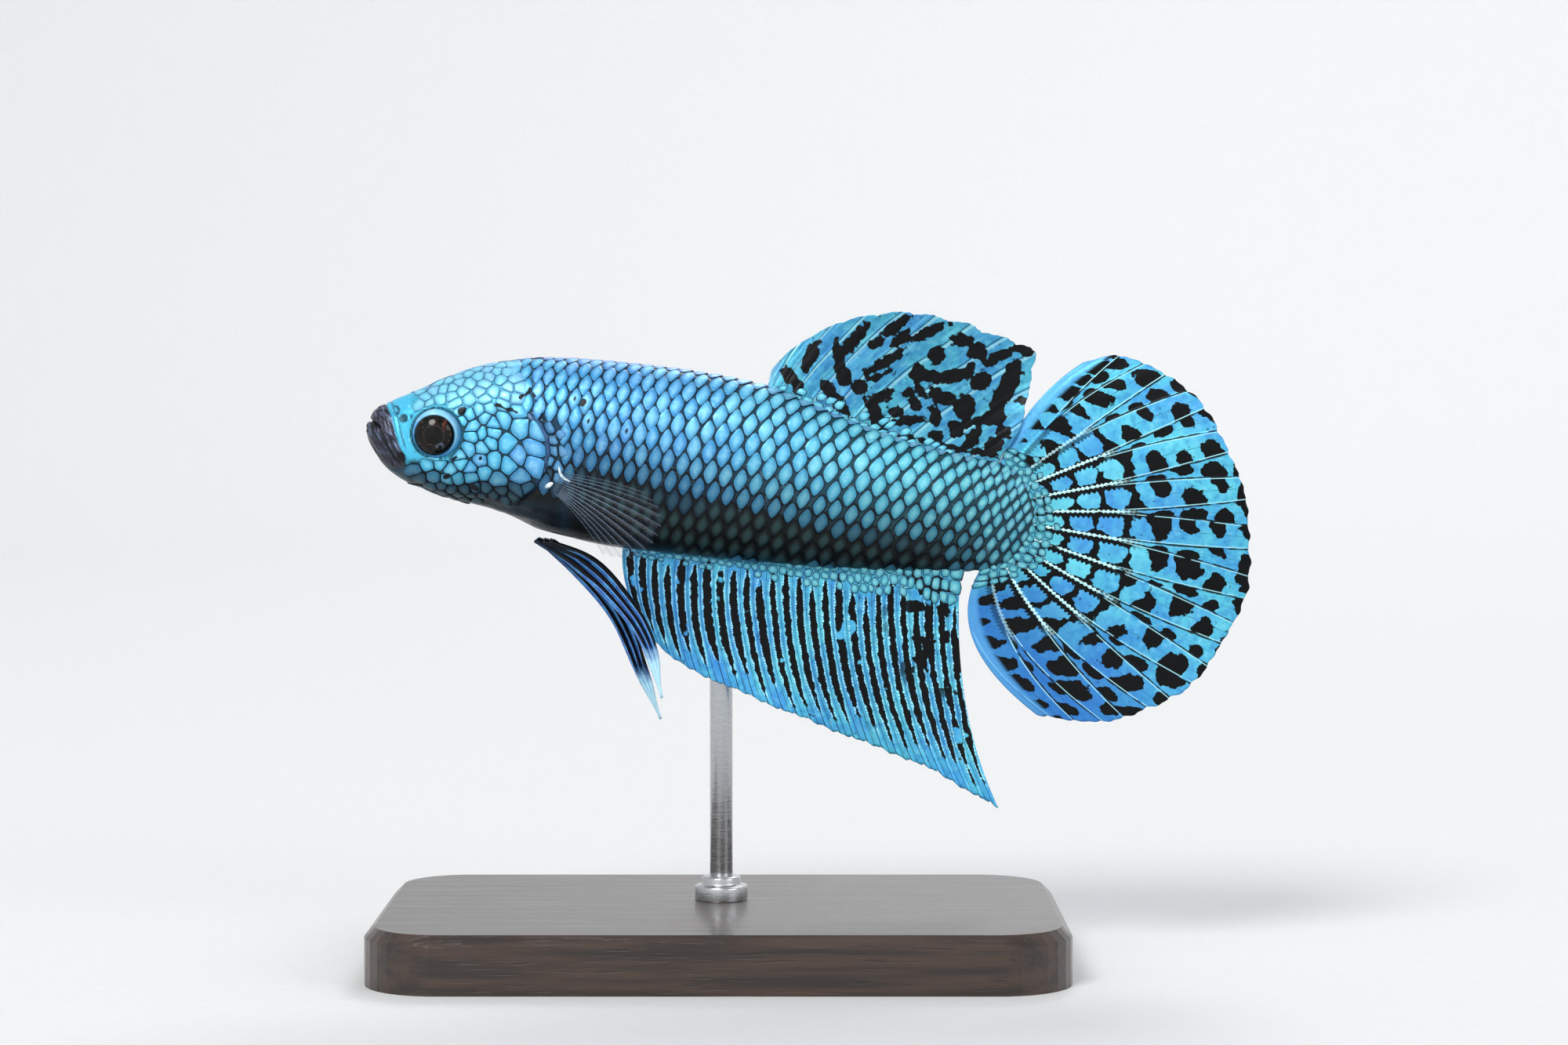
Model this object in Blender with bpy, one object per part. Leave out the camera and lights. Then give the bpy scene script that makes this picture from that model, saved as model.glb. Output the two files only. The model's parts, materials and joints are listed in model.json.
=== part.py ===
"""A life-size short-finned betta fish held on a plain display stand.

The fish swims level towards -X with its left side towards -Y. It is lofted whole and then parted
with thin cuts, so that each part a person would name is a solid of its own. Sizes are millimetres.
"""

import math

import bmesh
import bpy

# Driving dimensions
METRES = 0.001
CUT = 0.3  # gap between neighbouring parts
FIN_THICK = 0.55  # membrane of a fin
RAY_RISE = 0.1  # how much a ray thickens the fin on each side
RAY_REACH = 0.03  # share of its length by which a ray passes the membrane
BODY_ROUND = 24  # points round one section of the body

# Body stations: distance along the fish, back line, belly line, half width
BODY_STATIONS = (
    (-34.8, 42.6, 41.6, 0.5),
    (-34.2, 43.55, 40.1, 1.25),
    (-33.0, 44.3, 38.7, 2.0),
    (-31.0, 45.1, 37.5, 2.8),
    (-28.5, 46.3, 36.6, 3.5),
    (-25.0, 47.35, 35.8, 4.15),
    (-21.0, 47.8, 34.0, 4.55),
    (-16.0, 47.55, 32.7, 4.65),
    (-9.0, 46.75, 31.9, 4.35),
    (-3.0, 45.55, 31.3, 3.85),
    (3.0, 43.0, 30.9, 3.15),
    (9.0, 40.9, 30.75, 2.35),
    (13.4, 39.9, 30.7, 1.6),
    (15.8, 39.4, 31.2, 1.05),
    (17.1, 38.2, 32.5, 0.7),
    (17.9, 36.1, 34.4, 0.4),
)
WIDEST_LEVEL = 0.53  # share of the depth at which a section is widest
SECTION_SQUARE = 0.93  # under 1 makes a section fuller than an ellipse
KEEL_START, KEEL_FULL = -16.0, 6.0  # the belly narrows to a keel between these
KEEL_NARROW = 0.3
LIP_SWELL, LIP_WIDTH = 0.16, 0.8  # how much wider the lips are than the snout, and how far from the mouth line

# Cuts seen from the side, as (x, z)
JAW_LINE = ((-33.6, 45.8), (-31.4, 39.9), (-29.3, 35.0))
MOUTH_LINE = ((-36.0, 44.1), (-31.38, 39.9))
NAPE_X, NAPE_Z, NAPE_CURVE = -20.1, 40.0, 0.055
TRUNK_CUT_X = -5.0
STALK_CUT_X = 12.6
GILL_CENTRE = (-21.5, 39.6)
GILL_RADII = (5.6, 4.1)
GILL_DEPTH_Y = 2.6  # the gill cover lies outside this distance from the middle

EYE_CENTRE = (-29.1, 2.35, 41.8)
EYE_RADII = (2.0, 1.5, 2.0)

# The stand
BASE_CENTRE_X = -7.0
BASE_LENGTH, BASE_WIDTH, BASE_HEIGHT = 54.0, 34.0, 4.5
BASE_CORNER = 6.0
BASE_EDGE = 0.8
ROD_X, ROD_Y, ROD_RADIUS = -7.0, 2.2, 0.9
ROD_TOP, ROD_FOOT = 36.0, 1.8

# Materials: colour, roughness, metallic
FINISHES = {
    "flesh": ((0.13, 0.42, 0.70), 0.45, 0.2),
    "lip": ((0.05, 0.045, 0.07), 0.5, 0.0),
    "fin": ((0.12, 0.50, 0.76), 0.4, 0.2),
    "clear_fin": ((0.30, 0.42, 0.52), 0.4, 0.0),
    "eye": ((0.02, 0.015, 0.015), 0.08, 0.0),
    "base": ((0.03, 0.03, 0.032), 0.35, 0.0),
    "rod": ((0.55, 0.55, 0.56), 0.3, 1.0),
}


# Curves

def hermite(a, b, slope_a, slope_b, t):
    """The value at t of the cubic that leaves a with slope_a and meets b with slope_b."""
    rest = 1 - t
    return (
        a * (1 + 2 * t) * rest * rest
        + b * (3 - 2 * t) * t * t
        + slope_a * t * rest * rest
        - slope_b * rest * t * t
    )


def smooth_value(table, column, x):
    """A column of a table of stations, read smoothly at x."""
    last = len(table) - 1
    i = max(k for k in range(last) if table[k][0] <= x or k == 0)
    span = table[i + 1][0] - table[i][0]

    def slope(k):
        low, high = max(k - 1, 0), min(k + 1, last)
        return (table[high][column] - table[low][column]) / (table[high][0] - table[low][0])

    return hermite(
        table[i][column],
        table[i + 1][column],
        slope(i) * span,
        slope(i + 1) * span,
        (x - table[i][0]) / span,
    )


def along(points, share):
    """The point at a share of the way along a smooth curve through points."""
    steps = [math.dist(a, b) for a, b in zip(points, points[1:])]
    distance = [sum(steps[:k]) for k in range(len(points))]
    rows = [(d, *p) for d, p in zip(distance, points)]
    return tuple(
        smooth_value(rows, column, share * distance[-1])
        for column in range(1, len(points[0]) + 1)
    )


def mix(a, b, t):
    return tuple(p + (q - p) * t for p, q in zip(a, b))


# Meshes

def finish_of(name):
    material = bpy.data.materials.get(name)
    if material:
        return material
    colour, roughness, metallic = FINISHES[name]
    material = bpy.data.materials.new(name)
    material.use_nodes = True
    shader = material.node_tree.nodes["Principled BSDF"]
    shader.inputs["Base Color"].default_value = (*colour, 1)
    shader.inputs["Roughness"].default_value = roughness
    shader.inputs["Metallic"].default_value = metallic
    return material


def mesh_object(name, points, faces, finish):
    """One object from points in millimetres, its faces turned outwards."""
    mesh = bpy.data.meshes.new(name)
    mesh.from_pydata([tuple(c * METRES for c in p) for p in points], [], faces)
    shape = bmesh.new()
    shape.from_mesh(mesh)
    bmesh.ops.recalc_face_normals(shape, faces=shape.faces)
    shape.to_mesh(mesh)
    shape.free()
    mesh.shade_smooth()
    mesh.set_sharp_from_angle(angle=math.radians(40))
    mesh.materials.append(finish_of(finish))
    item = bpy.data.objects.new(name, mesh)
    bpy.context.scene.collection.objects.link(item)
    return item


def ring_faces(rings, round_count):
    """Quads between neighbouring rings, with the first and last ring closed."""
    faces = [tuple(range(round_count)), tuple((rings - 1) * round_count + k for k in range(round_count))]
    for i in range(rings - 1):
        for k in range(round_count):
            a, b = i * round_count + k, i * round_count + (k + 1) % round_count
            faces.append((a, b, b + round_count, a + round_count))
    return faces


def prism(name, outline, y_low, y_high):
    """A side-view outline stretched from y_low to y_high."""
    points = [(x, y, z) for y in (y_low, y_high) for x, z in outline]
    return mesh_object(name, points, ring_faces(2, len(outline)), "flesh")


def cutter(item):
    item.hide_render = True
    item.display_type = "WIRE"
    return item


def slit(name, line):
    """A cutter as thick as a cut, along a side-view line and right across the fish."""
    normals = []
    for k in range(len(line)):
        a, b = line[max(k - 1, 0)], line[min(k + 1, len(line) - 1)]
        length = math.dist(a, b)
        normals.append(((b[1] - a[1]) / length, (a[0] - b[0]) / length))
    sides = [
        [(p[0] + n[0] * side, p[1] + n[1] * side) for p, n in zip(line, normals)]
        for side in (-CUT / 2, CUT / 2)
    ]
    return cutter(prism(name, sides[0] + sides[1][::-1], -9.0, 9.0))


def boolean(item, tool, operation):
    cut = item.modifiers.new(tool.name, "BOOLEAN")
    cut.operation = operation
    cut.object = tool


def apply_modifiers(item):
    graph = bpy.context.evaluated_depsgraph_get()
    item.data = bpy.data.meshes.new_from_object(item.evaluated_get(graph))
    item.modifiers.clear()


# The body

def mouth_distance(x, z):
    """How far a side-view point is from the line of the mouth."""
    (ax, az), (bx, bz) = MOUTH_LINE
    length = math.dist(*MOUTH_LINE)
    share = ((x - ax) * (bx - ax) + (z - az) * (bz - az)) / length**2
    share = min(max(share, 0), 1)
    return math.dist((x, z), (ax + share * (bx - ax), az + share * (bz - az)))


def body_point(x, turn):
    """A point of the skin at distance x, turned from the back (0) down the left side to the belly (pi)."""
    back = smooth_value(BODY_STATIONS, 1, x)
    belly = smooth_value(BODY_STATIONS, 2, x)
    half_width = smooth_value(BODY_STATIONS, 3, x)
    level = belly + WIDEST_LEVEL * (back - belly)
    side, up = math.sin(turn), math.cos(turn)
    keel = min(max((x - KEEL_START) / (KEEL_FULL - KEEL_START), 0), 1)
    narrow = 1 - KEEL_NARROW * keel * max(-up, 0) ** 2
    z = level + (back - level if up > 0 else level - belly) * math.copysign(abs(up) ** SECTION_SQUARE, up)
    lips = 1 + LIP_SWELL * math.exp(-((mouth_distance(x, z) / LIP_WIDTH) ** 2))
    y = -half_width * narrow * lips * math.copysign(abs(side) ** SECTION_SQUARE, side)
    return (x, y, z)


def body_rings():
    """Distances of the body's sections, close together at the mouth and at the tail's end."""
    nose = [-34.8, -34.55, -34.2, -33.7, -33.1, -32.4]
    middle = [-31.6 + 1.25 * k for k in range(37)]
    tail = [14.3, 15.2, 16.0, 16.6, 17.1, 17.5, 17.75, 17.9]
    return nose + middle + tail


def whole_body(name):
    sections = body_rings()
    points = [
        body_point(x, 2 * math.pi * k / BODY_ROUND)
        for x in sections
        for k in range(BODY_ROUND)
    ]
    return mesh_object(name, points, ring_faces(len(sections), BODY_ROUND), "flesh")


def nape_x(z):
    return NAPE_X - NAPE_CURVE * (z - NAPE_Z) ** 2


def gill_outline(inset):
    """The gill cover from the side: half an ellipse in front, and the nape's curve behind."""
    front = [
        (
            GILL_CENTRE[0] - (GILL_RADII[0] - inset) * math.sin(math.pi * k / 14),
            GILL_CENTRE[1] + (GILL_RADII[1] - inset) * math.cos(math.pi * k / 14),
        )
        for k in range(15)
    ]
    top, bottom = front[0][1], front[-1][1]
    rear = [bottom + (top - bottom) * k / 6 for k in range(7)]
    return front + [(nape_x(z), z) for z in rear]


def ellipsoid(name, centre, radii, segments, rings, finish):
    shape = bmesh.new()
    bmesh.ops.create_uvsphere(shape, u_segments=segments, v_segments=rings, radius=1)
    points = [
        tuple(c + r * v for c, r, v in zip(centre, radii, (vert.co.x, vert.co.z, vert.co.y)))
        for vert in shape.verts
    ]
    faces = [tuple(vert.index for vert in face.verts) for face in shape.faces]
    shape.free()
    return mesh_object(name, points, faces, finish)


def cylinder(name, centre, radius, low, high, sides, finish):
    points = [
        (
            centre[0] + radius * math.cos(2 * math.pi * k / sides),
            centre[1] + radius * math.sin(2 * math.pi * k / sides),
            z,
        )
        for z in (low, high)
        for k in range(sides)
    ]
    return mesh_object(name, points, ring_faces(2, sides), finish)


def eyes():
    for side, sign in (("left", -1), ("right", 1)):
        centre = (EYE_CENTRE[0], sign * EYE_CENTRE[1], EYE_CENTRE[2])
        ellipsoid("eye_" + side, centre, EYE_RADII, 18, 12, "eye")


def gill_covers():
    for side, sign in (("left", -1), ("right", 1)):
        cover = whole_body("gill_cover_" + side)
        reach = sorted((sign * (GILL_DEPTH_Y + CUT), sign * 9.0))
        boolean(cover, cutter(prism("gill_shape_" + side, gill_outline(CUT), *reach)), "INTERSECT")
        boolean(cover, bpy.data.objects["nape_slit"], "DIFFERENCE")
        apply_modifiers(cover)


def parted_body():
    """The body with every cut made, as one object of several pieces."""
    body = whole_body("body")
    tools = [
        slit("jaw_slit", JAW_LINE),
        slit("mouth_slit", MOUTH_LINE),
        slit("nape_slit", [(nape_x(z), z) for z in range(52, 28, -2)]),
        slit("trunk_slit", ((TRUNK_CUT_X, 52.0), (TRUNK_CUT_X, 28.0))),
        slit("stalk_slit", ((STALK_CUT_X, 52.0), (STALK_CUT_X, 28.0))),
        cutter(cylinder("rod_bore", (ROD_X, ROD_Y), ROD_RADIUS + CUT, 25.0, ROD_TOP + CUT, 20, "rod")),
    ]
    for side, sign in (("left", -1), ("right", 1)):
        reach = sorted((sign * GILL_DEPTH_Y, sign * 9.0))
        tools.append(cutter(prism("gill_hole_" + side, gill_outline(0), *reach)))
        centre = (EYE_CENTRE[0], sign * EYE_CENTRE[1], EYE_CENTRE[2])
        socket = tuple(r + CUT for r in EYE_RADII)
        tools.append(cutter(ellipsoid("socket_" + side, centre, socket, 18, 12, "eye")))
    for tool in tools:
        boolean(body, tool, "DIFFERENCE")
    apply_modifiers(body)
    return body


def name_pieces(body):
    """Splits the parted body into its pieces, and names each by the place of its middle."""
    places = {
        "upper_jaw": (-33.0, 42.7),
        "lower_jaw": (-32.5, 39.0),
        "head": (-26.5, 40.5),
        "trunk_front": (-13.0, 40.0),
        "trunk_rear": (3.8, 38.0),
        "tail_stalk": (15.2, 35.3),
    }
    bpy.ops.object.select_all(action="DESELECT")
    bpy.context.view_layer.objects.active = body
    body.select_set(True)
    bpy.ops.object.mode_set(mode="EDIT")
    bpy.ops.mesh.separate(type="LOOSE")
    bpy.ops.object.mode_set(mode="OBJECT")
    for piece in bpy.context.selected_objects:
        corners = [[c[axis] / METRES for c in piece.bound_box] for axis in (0, 2)]
        middle = [(min(side) + max(side)) / 2 for side in corners]
        name = min(places, key=lambda key: math.dist(places[key], middle))
        piece.name = name
        if name in ("upper_jaw", "lower_jaw"):
            piece.data.materials[0] = finish_of("lip")


# The fins

def fan(foot, edge, bow, sway=lambda u, v: 0):
    """A fin's middle surface: rays from foot(u) to the edge, bent by bow(u) and moved sideways by sway(u, v)."""

    def place(u, v):
        start, end = foot(u), along(edge, u)
        middle = tuple(m + b for m, b in zip(mix(start, end, 0.5), bow(u)))
        x, y, z = mix(mix(start, middle, v), mix(middle, end, v), v)
        return (x, y + sway(u, v), z)

    return place


def fin(name, finish, place, rays, rows):
    """A thin body round the surface place(u, v), with its rays thicker and longer than the membrane between."""
    columns = 2 * rays - 1
    sides = []
    for side in (-1, 1):
        for i in range(columns):
            is_ray = i % 2 == 0
            reach = 1 if is_ray else 1 - RAY_REACH
            for j in range(rows + 1):
                v = reach * j / rows
                x, y, z = place(i / (columns - 1), v)
                half = FIN_THICK / 2 + (RAY_RISE * (1 - v) if is_ray else 0)
                sides.append((x, y + side * half, z))
    return grid_shell(name, finish, sides, columns, rows + 1)


def grid_shell(name, finish, points, columns, rows):
    """Closes two facing grids of points into one thin body."""
    count = columns * rows
    faces = []
    for i in range(columns - 1):
        for j in range(rows - 1):
            a = i * rows + j
            quad = (a, a + 1, a + rows + 1, a + rows)
            faces.append(quad)
            faces.append(tuple(k + count for k in reversed(quad)))
    edge = [j for j in range(rows)]
    edge += [i * rows + rows - 1 for i in range(1, columns)]
    edge += [(columns - 1) * rows + j for j in range(rows - 2, -1, -1)]
    edge += [i * rows for i in range(columns - 2, 0, -1)]
    for k in range(len(edge)):
        a, b = edge[k], edge[(k + 1) % len(edge)]
        faces.append((a, b, b + count, a + count))
    return mesh_object(name, points, faces, finish)


def ripple(size, waves, lean):
    """A sideways wave over a fin, nothing at its foot and largest at its edge."""
    return lambda u, v: size * v * v * math.sin(2 * math.pi * (waves * u + lean * v))


def dorsal_fin():
    front, rear = -3.5, 14.6
    edge = (
        (-3.0, 0, 46.7), (-1.4, 0, 48.3), (1.6, 0, 50.1), (5.2, 0, 51.1), (9.6, 0, 51.0), (14.0, 0, 49.7),
        (17.6, 0, 48.1), (17.3, 0, 45.2), (16.4, 0, 41.9), (15.2, 0, 40.25),
    )

    def foot(u):
        x = front + (rear - front) * u
        return (x, 0, smooth_value(BODY_STATIONS, 1, x) + CUT)

    def bow(u):
        return (-4.0 * (1 - u) * u, 0, 4.0 * (1 - u) * u - 0.4 * u)

    fin("dorsal_fin", "fin", fan(foot, edge, bow, ripple(0.7, 1.5, 0.2)), 11, 7)


def anal_fin():
    front, rear = -14.6, 12.0
    edge = (
        (-13.2, 0, 26.5), (-10.6, 0, 23.8), (-4.4, 0, 20.9), (3.0, 0, 17.8), (9.4, 0, 15.3), (15.0, 0, 12.0),
    )

    def foot(u):
        x = front + (rear - front) * u
        return (x, 0, smooth_value(BODY_STATIONS, 2, x) - CUT)

    def bow(u):
        return (-1.3 - 1.2 * u * u, 0, 0.3 - 1.6 * u * u)

    fin("anal_fin", "fin", fan(foot, edge, bow, ripple(0.45, 2.0, 0.1)), 27, 5)


def caudal_fin():
    base = ((15.7, 0, 39.95), (17.5, 0, 38.55), (18.3, 0, 35.3), (17.5, 0, 32.2), (13.3, 0, 30.1))
    edge = (
        (21.6, 0, 47.3), (24.4, 0, 47.8), (28.0, 0, 46.5), (31.2, 0, 43.5), (33.4, 0, 39.3), (34.7, 0, 34.0),
        (34.6, 0, 29.6), (32.8, 0, 25.1), (29.3, 0, 21.2), (25.0, 0, 19.4), (21.2, 0, 19.1), (18.0, 0, 19.5),
    )

    def bow(u):
        upper, lower = max(1 - 2 * u, 0) ** 2, max(2 * u - 1, 0) ** 2
        return (-1.1 * upper - 5.6 * lower, 0, 1.2 * upper + 0.2 * lower)

    fin("caudal_fin", "fin", fan(lambda u: along(base, u), edge, bow, ripple(1.0, 1.6, 0.25)), 18, 8)


def pelvic_fins():
    """Long narrow blades, each between a front and a rear edge; the right one hangs lower than the left."""
    edges = {
        "left": (
            ((-21.6, 33.35), (-19.0, 31.5), (-16.2, 29.0), (-13.4, 25.6), (-11.8, 21.0)),
            ((-20.2, 33.2), (-16.8, 32.0), (-14.2, 29.3), (-12.2, 25.8), (-11.3, 21.2)),
        ),
        "right": (
            ((-21.6, 33.35), (-18.7, 30.4), (-15.9, 27.0), (-14.1, 23.1), (-12.1, 18.8)),
            ((-20.2, 33.2), (-16.6, 30.4), (-14.1, 26.6), (-12.8, 22.8), (-11.6, 18.9)),
        ),
    }
    for side, sign in (("left", -1), ("right", 1)):
        front, rear = edges[side]

        def place(u, v):
            x, z = mix(along(front, v), along(rear, v), u)
            return (x, sign * (1.35 + 1.65 * v), z)

        fin("pelvic_fin_" + side, "fin", place, 4, 9)


def pectoral_fins():
    """Clear fans that stand off the flanks."""
    for side, sign in (("left", -1), ("right", 1)):
        edge = (
            (-12.6, sign * 7.3, 37.3), (-11.5, sign * 7.7, 35.9), (-11.8, sign * 7.5, 34.0),
            (-13.6, sign * 6.9, 32.4), (-16.0, sign * 6.2, 32.5),
        )
        root = ((-19.7, sign * 4.95, 38.8), (-19.7, sign * 4.75, 37.2))
        bow = (0.3, sign * 0.3, 0.5)
        fin("pectoral_fin_" + side, "clear_fin", fan(lambda u: mix(*root, u), edge, lambda u: bow), 7, 5)


# The stand

def rounded_slab(low, high, inset):
    """The corners of the base, at two heights, with its outline drawn in by inset at the top."""
    rings = []
    for z, shrink in ((low, 0), (high - BASE_EDGE, 0), (high, inset)):
        radius = BASE_CORNER - shrink
        for k in range(32):
            turn = 2 * math.pi * (k + 0.5) / 32
            reach_x = BASE_LENGTH / 2 - BASE_CORNER
            reach_y = BASE_WIDTH / 2 - BASE_CORNER
            x = BASE_CENTRE_X + math.copysign(reach_x, math.cos(turn)) + radius * math.cos(turn)
            y = math.copysign(reach_y, math.sin(turn)) + radius * math.sin(turn)
            rings.append((x, y, z))
    return rings


def stand():
    """The base with a blind hole, and the rod that stands in it and ends in the fish's belly."""
    base = mesh_object("stand_base", rounded_slab(0, BASE_HEIGHT, BASE_EDGE), ring_faces(3, 32), "base")
    hole = (ROD_FOOT - CUT, BASE_HEIGHT + CUT)
    boolean(base, cutter(cylinder("rod_hole", (ROD_X, ROD_Y), ROD_RADIUS + CUT, *hole, 20, "rod")), "DIFFERENCE")
    apply_modifiers(base)
    cylinder("stand_rod", (ROD_X, ROD_Y), ROD_RADIUS, ROD_FOOT, ROD_TOP, 20, "rod")


def main():
    for item in list(bpy.data.objects):
        bpy.data.objects.remove(item, do_unlink=True)
    body = parted_body()
    gill_covers()
    name_pieces(body)
    eyes()
    dorsal_fin()
    anal_fin()
    caudal_fin()
    pelvic_fins()
    pectoral_fins()
    stand()


main()
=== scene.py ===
import math

import bpy
import bmesh
import numpy as np
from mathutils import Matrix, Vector
from mathutils.bvhtree import BVHTree
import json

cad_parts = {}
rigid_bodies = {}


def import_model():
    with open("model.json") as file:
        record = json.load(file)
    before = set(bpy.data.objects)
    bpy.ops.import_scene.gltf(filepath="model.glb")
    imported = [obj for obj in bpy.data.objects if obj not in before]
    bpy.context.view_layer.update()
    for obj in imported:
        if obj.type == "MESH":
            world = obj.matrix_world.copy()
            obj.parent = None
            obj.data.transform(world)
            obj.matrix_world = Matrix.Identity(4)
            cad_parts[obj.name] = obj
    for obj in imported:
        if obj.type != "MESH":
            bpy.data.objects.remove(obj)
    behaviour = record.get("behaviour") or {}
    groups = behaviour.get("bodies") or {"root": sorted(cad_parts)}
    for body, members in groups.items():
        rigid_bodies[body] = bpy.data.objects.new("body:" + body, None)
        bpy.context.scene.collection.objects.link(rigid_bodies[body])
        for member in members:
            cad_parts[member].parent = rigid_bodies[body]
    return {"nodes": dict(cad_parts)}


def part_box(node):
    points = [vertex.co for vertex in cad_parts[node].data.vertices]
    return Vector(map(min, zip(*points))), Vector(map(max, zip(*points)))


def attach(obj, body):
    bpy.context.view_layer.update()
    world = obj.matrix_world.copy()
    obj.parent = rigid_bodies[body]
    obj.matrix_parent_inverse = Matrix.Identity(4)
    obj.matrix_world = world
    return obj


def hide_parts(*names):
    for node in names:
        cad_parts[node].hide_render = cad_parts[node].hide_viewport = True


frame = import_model()
for startItem in [item for item in bpy.data.objects if item.name in ("Cube", "Light", "Camera")]:
    bpy.data.objects.remove(startItem, do_unlink=True)
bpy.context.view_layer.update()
mm = 0.001
flanks = (("Left", -1), ("Right", 1))     # each side's word and the sign of its y


def nodeBox(node):
    low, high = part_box(node)
    return np.array(low) / mm, np.array(high) / mm


def spotsWithin(low, high, shares):
    # side-view points given as shares of a box
    size = high - low
    return [(low[0] + a * size[0], low[2] + b * size[2]) for a, b in shares]


def boxSpots(node, shares):
    return spotsWithin(*nodeBox(node), shares)


eyeLow, eyeHigh = nodeBox("eye_left")
eyeCentre = (eyeLow + eyeHigh) / 2
eyeRadii = (eyeHigh - eyeLow) / 2
snoutX = nodeBox("lower_jaw")[0][0]
tailEndX = nodeBox("tail_stalk")[1][0]


def ease(low, high, value):
    # 0 below low, 1 above high, smooth between
    share = np.clip((np.asarray(value, float) - low) / (high - low), 0, 1)
    return share * share * (3 - 2 * share)


def bell(distance, width):
    return np.exp(-((distance / width) ** 2))


def unit(vectors):
    return vectors / np.maximum(np.linalg.norm(vectors, axis=-1, keepdims=True), 1e-9)


def curveAlong(points, shares):
    # a smooth curve through points, read at shares of its chord length
    points = np.asarray(points, float)
    steps = np.linalg.norm(np.diff(points, axis=0), axis=1)
    knots = np.concatenate([[0], np.cumsum(steps)])
    low = np.maximum(np.arange(len(knots)) - 1, 0)
    high = np.minimum(np.arange(len(knots)) + 1, len(knots) - 1)
    slopes = (points[high] - points[low]) / (knots[high] - knots[low])[:, None]
    place = np.asarray(shares, float) * knots[-1]
    k = np.clip(np.searchsorted(knots, place, side="right") - 1, 0, len(knots) - 2)
    span = (knots[k + 1] - knots[k])[..., None]
    t = (place[..., None] - knots[k][..., None]) / span
    rest = 1 - t
    return (
        points[k] * (1 + 2 * t) * rest * rest
        + points[k + 1] * (3 - 2 * t) * t * t
        + slopes[k] * span * t * rest * rest
        - slopes[k + 1] * span * rest * t * t
    )


def pathField(x, z, path):
    # signed distance to a side-view path (positive on its left going along it), and the share along it
    x, z = np.asarray(x, float), np.asarray(z, float)
    path = np.asarray(path, float)
    best = np.full(x.shape, 1e9)
    signed = np.zeros(x.shape)
    share = np.zeros(x.shape)
    for k in range(len(path) - 1):
        a, b = path[k], path[k + 1]
        step = b - a
        t = np.clip(((x - a[0]) * step[0] + (z - a[1]) * step[1]) / (step @ step), 0, 1)
        dx, dz = x - a[0] - t * step[0], z - a[1] - t * step[1]
        distance = np.hypot(dx, dz)
        nearer = distance < best
        side = np.sign(step[0] * dz - step[1] * dx)
        best = np.where(nearer, distance, best)
        signed = np.where(nearer, side * distance, signed)
        share = np.where(nearer, (k + t) / (len(path) - 1), share)
    return signed, share


def tint(code):
    parts = [int(code[k:k + 2], 16) / 255 for k in (0, 2, 4)]
    return tuple(c / 12.92 if c <= 0.04045 else ((c + 0.055) / 1.055) ** 2.4 for c in parts) + (1.0,)


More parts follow.
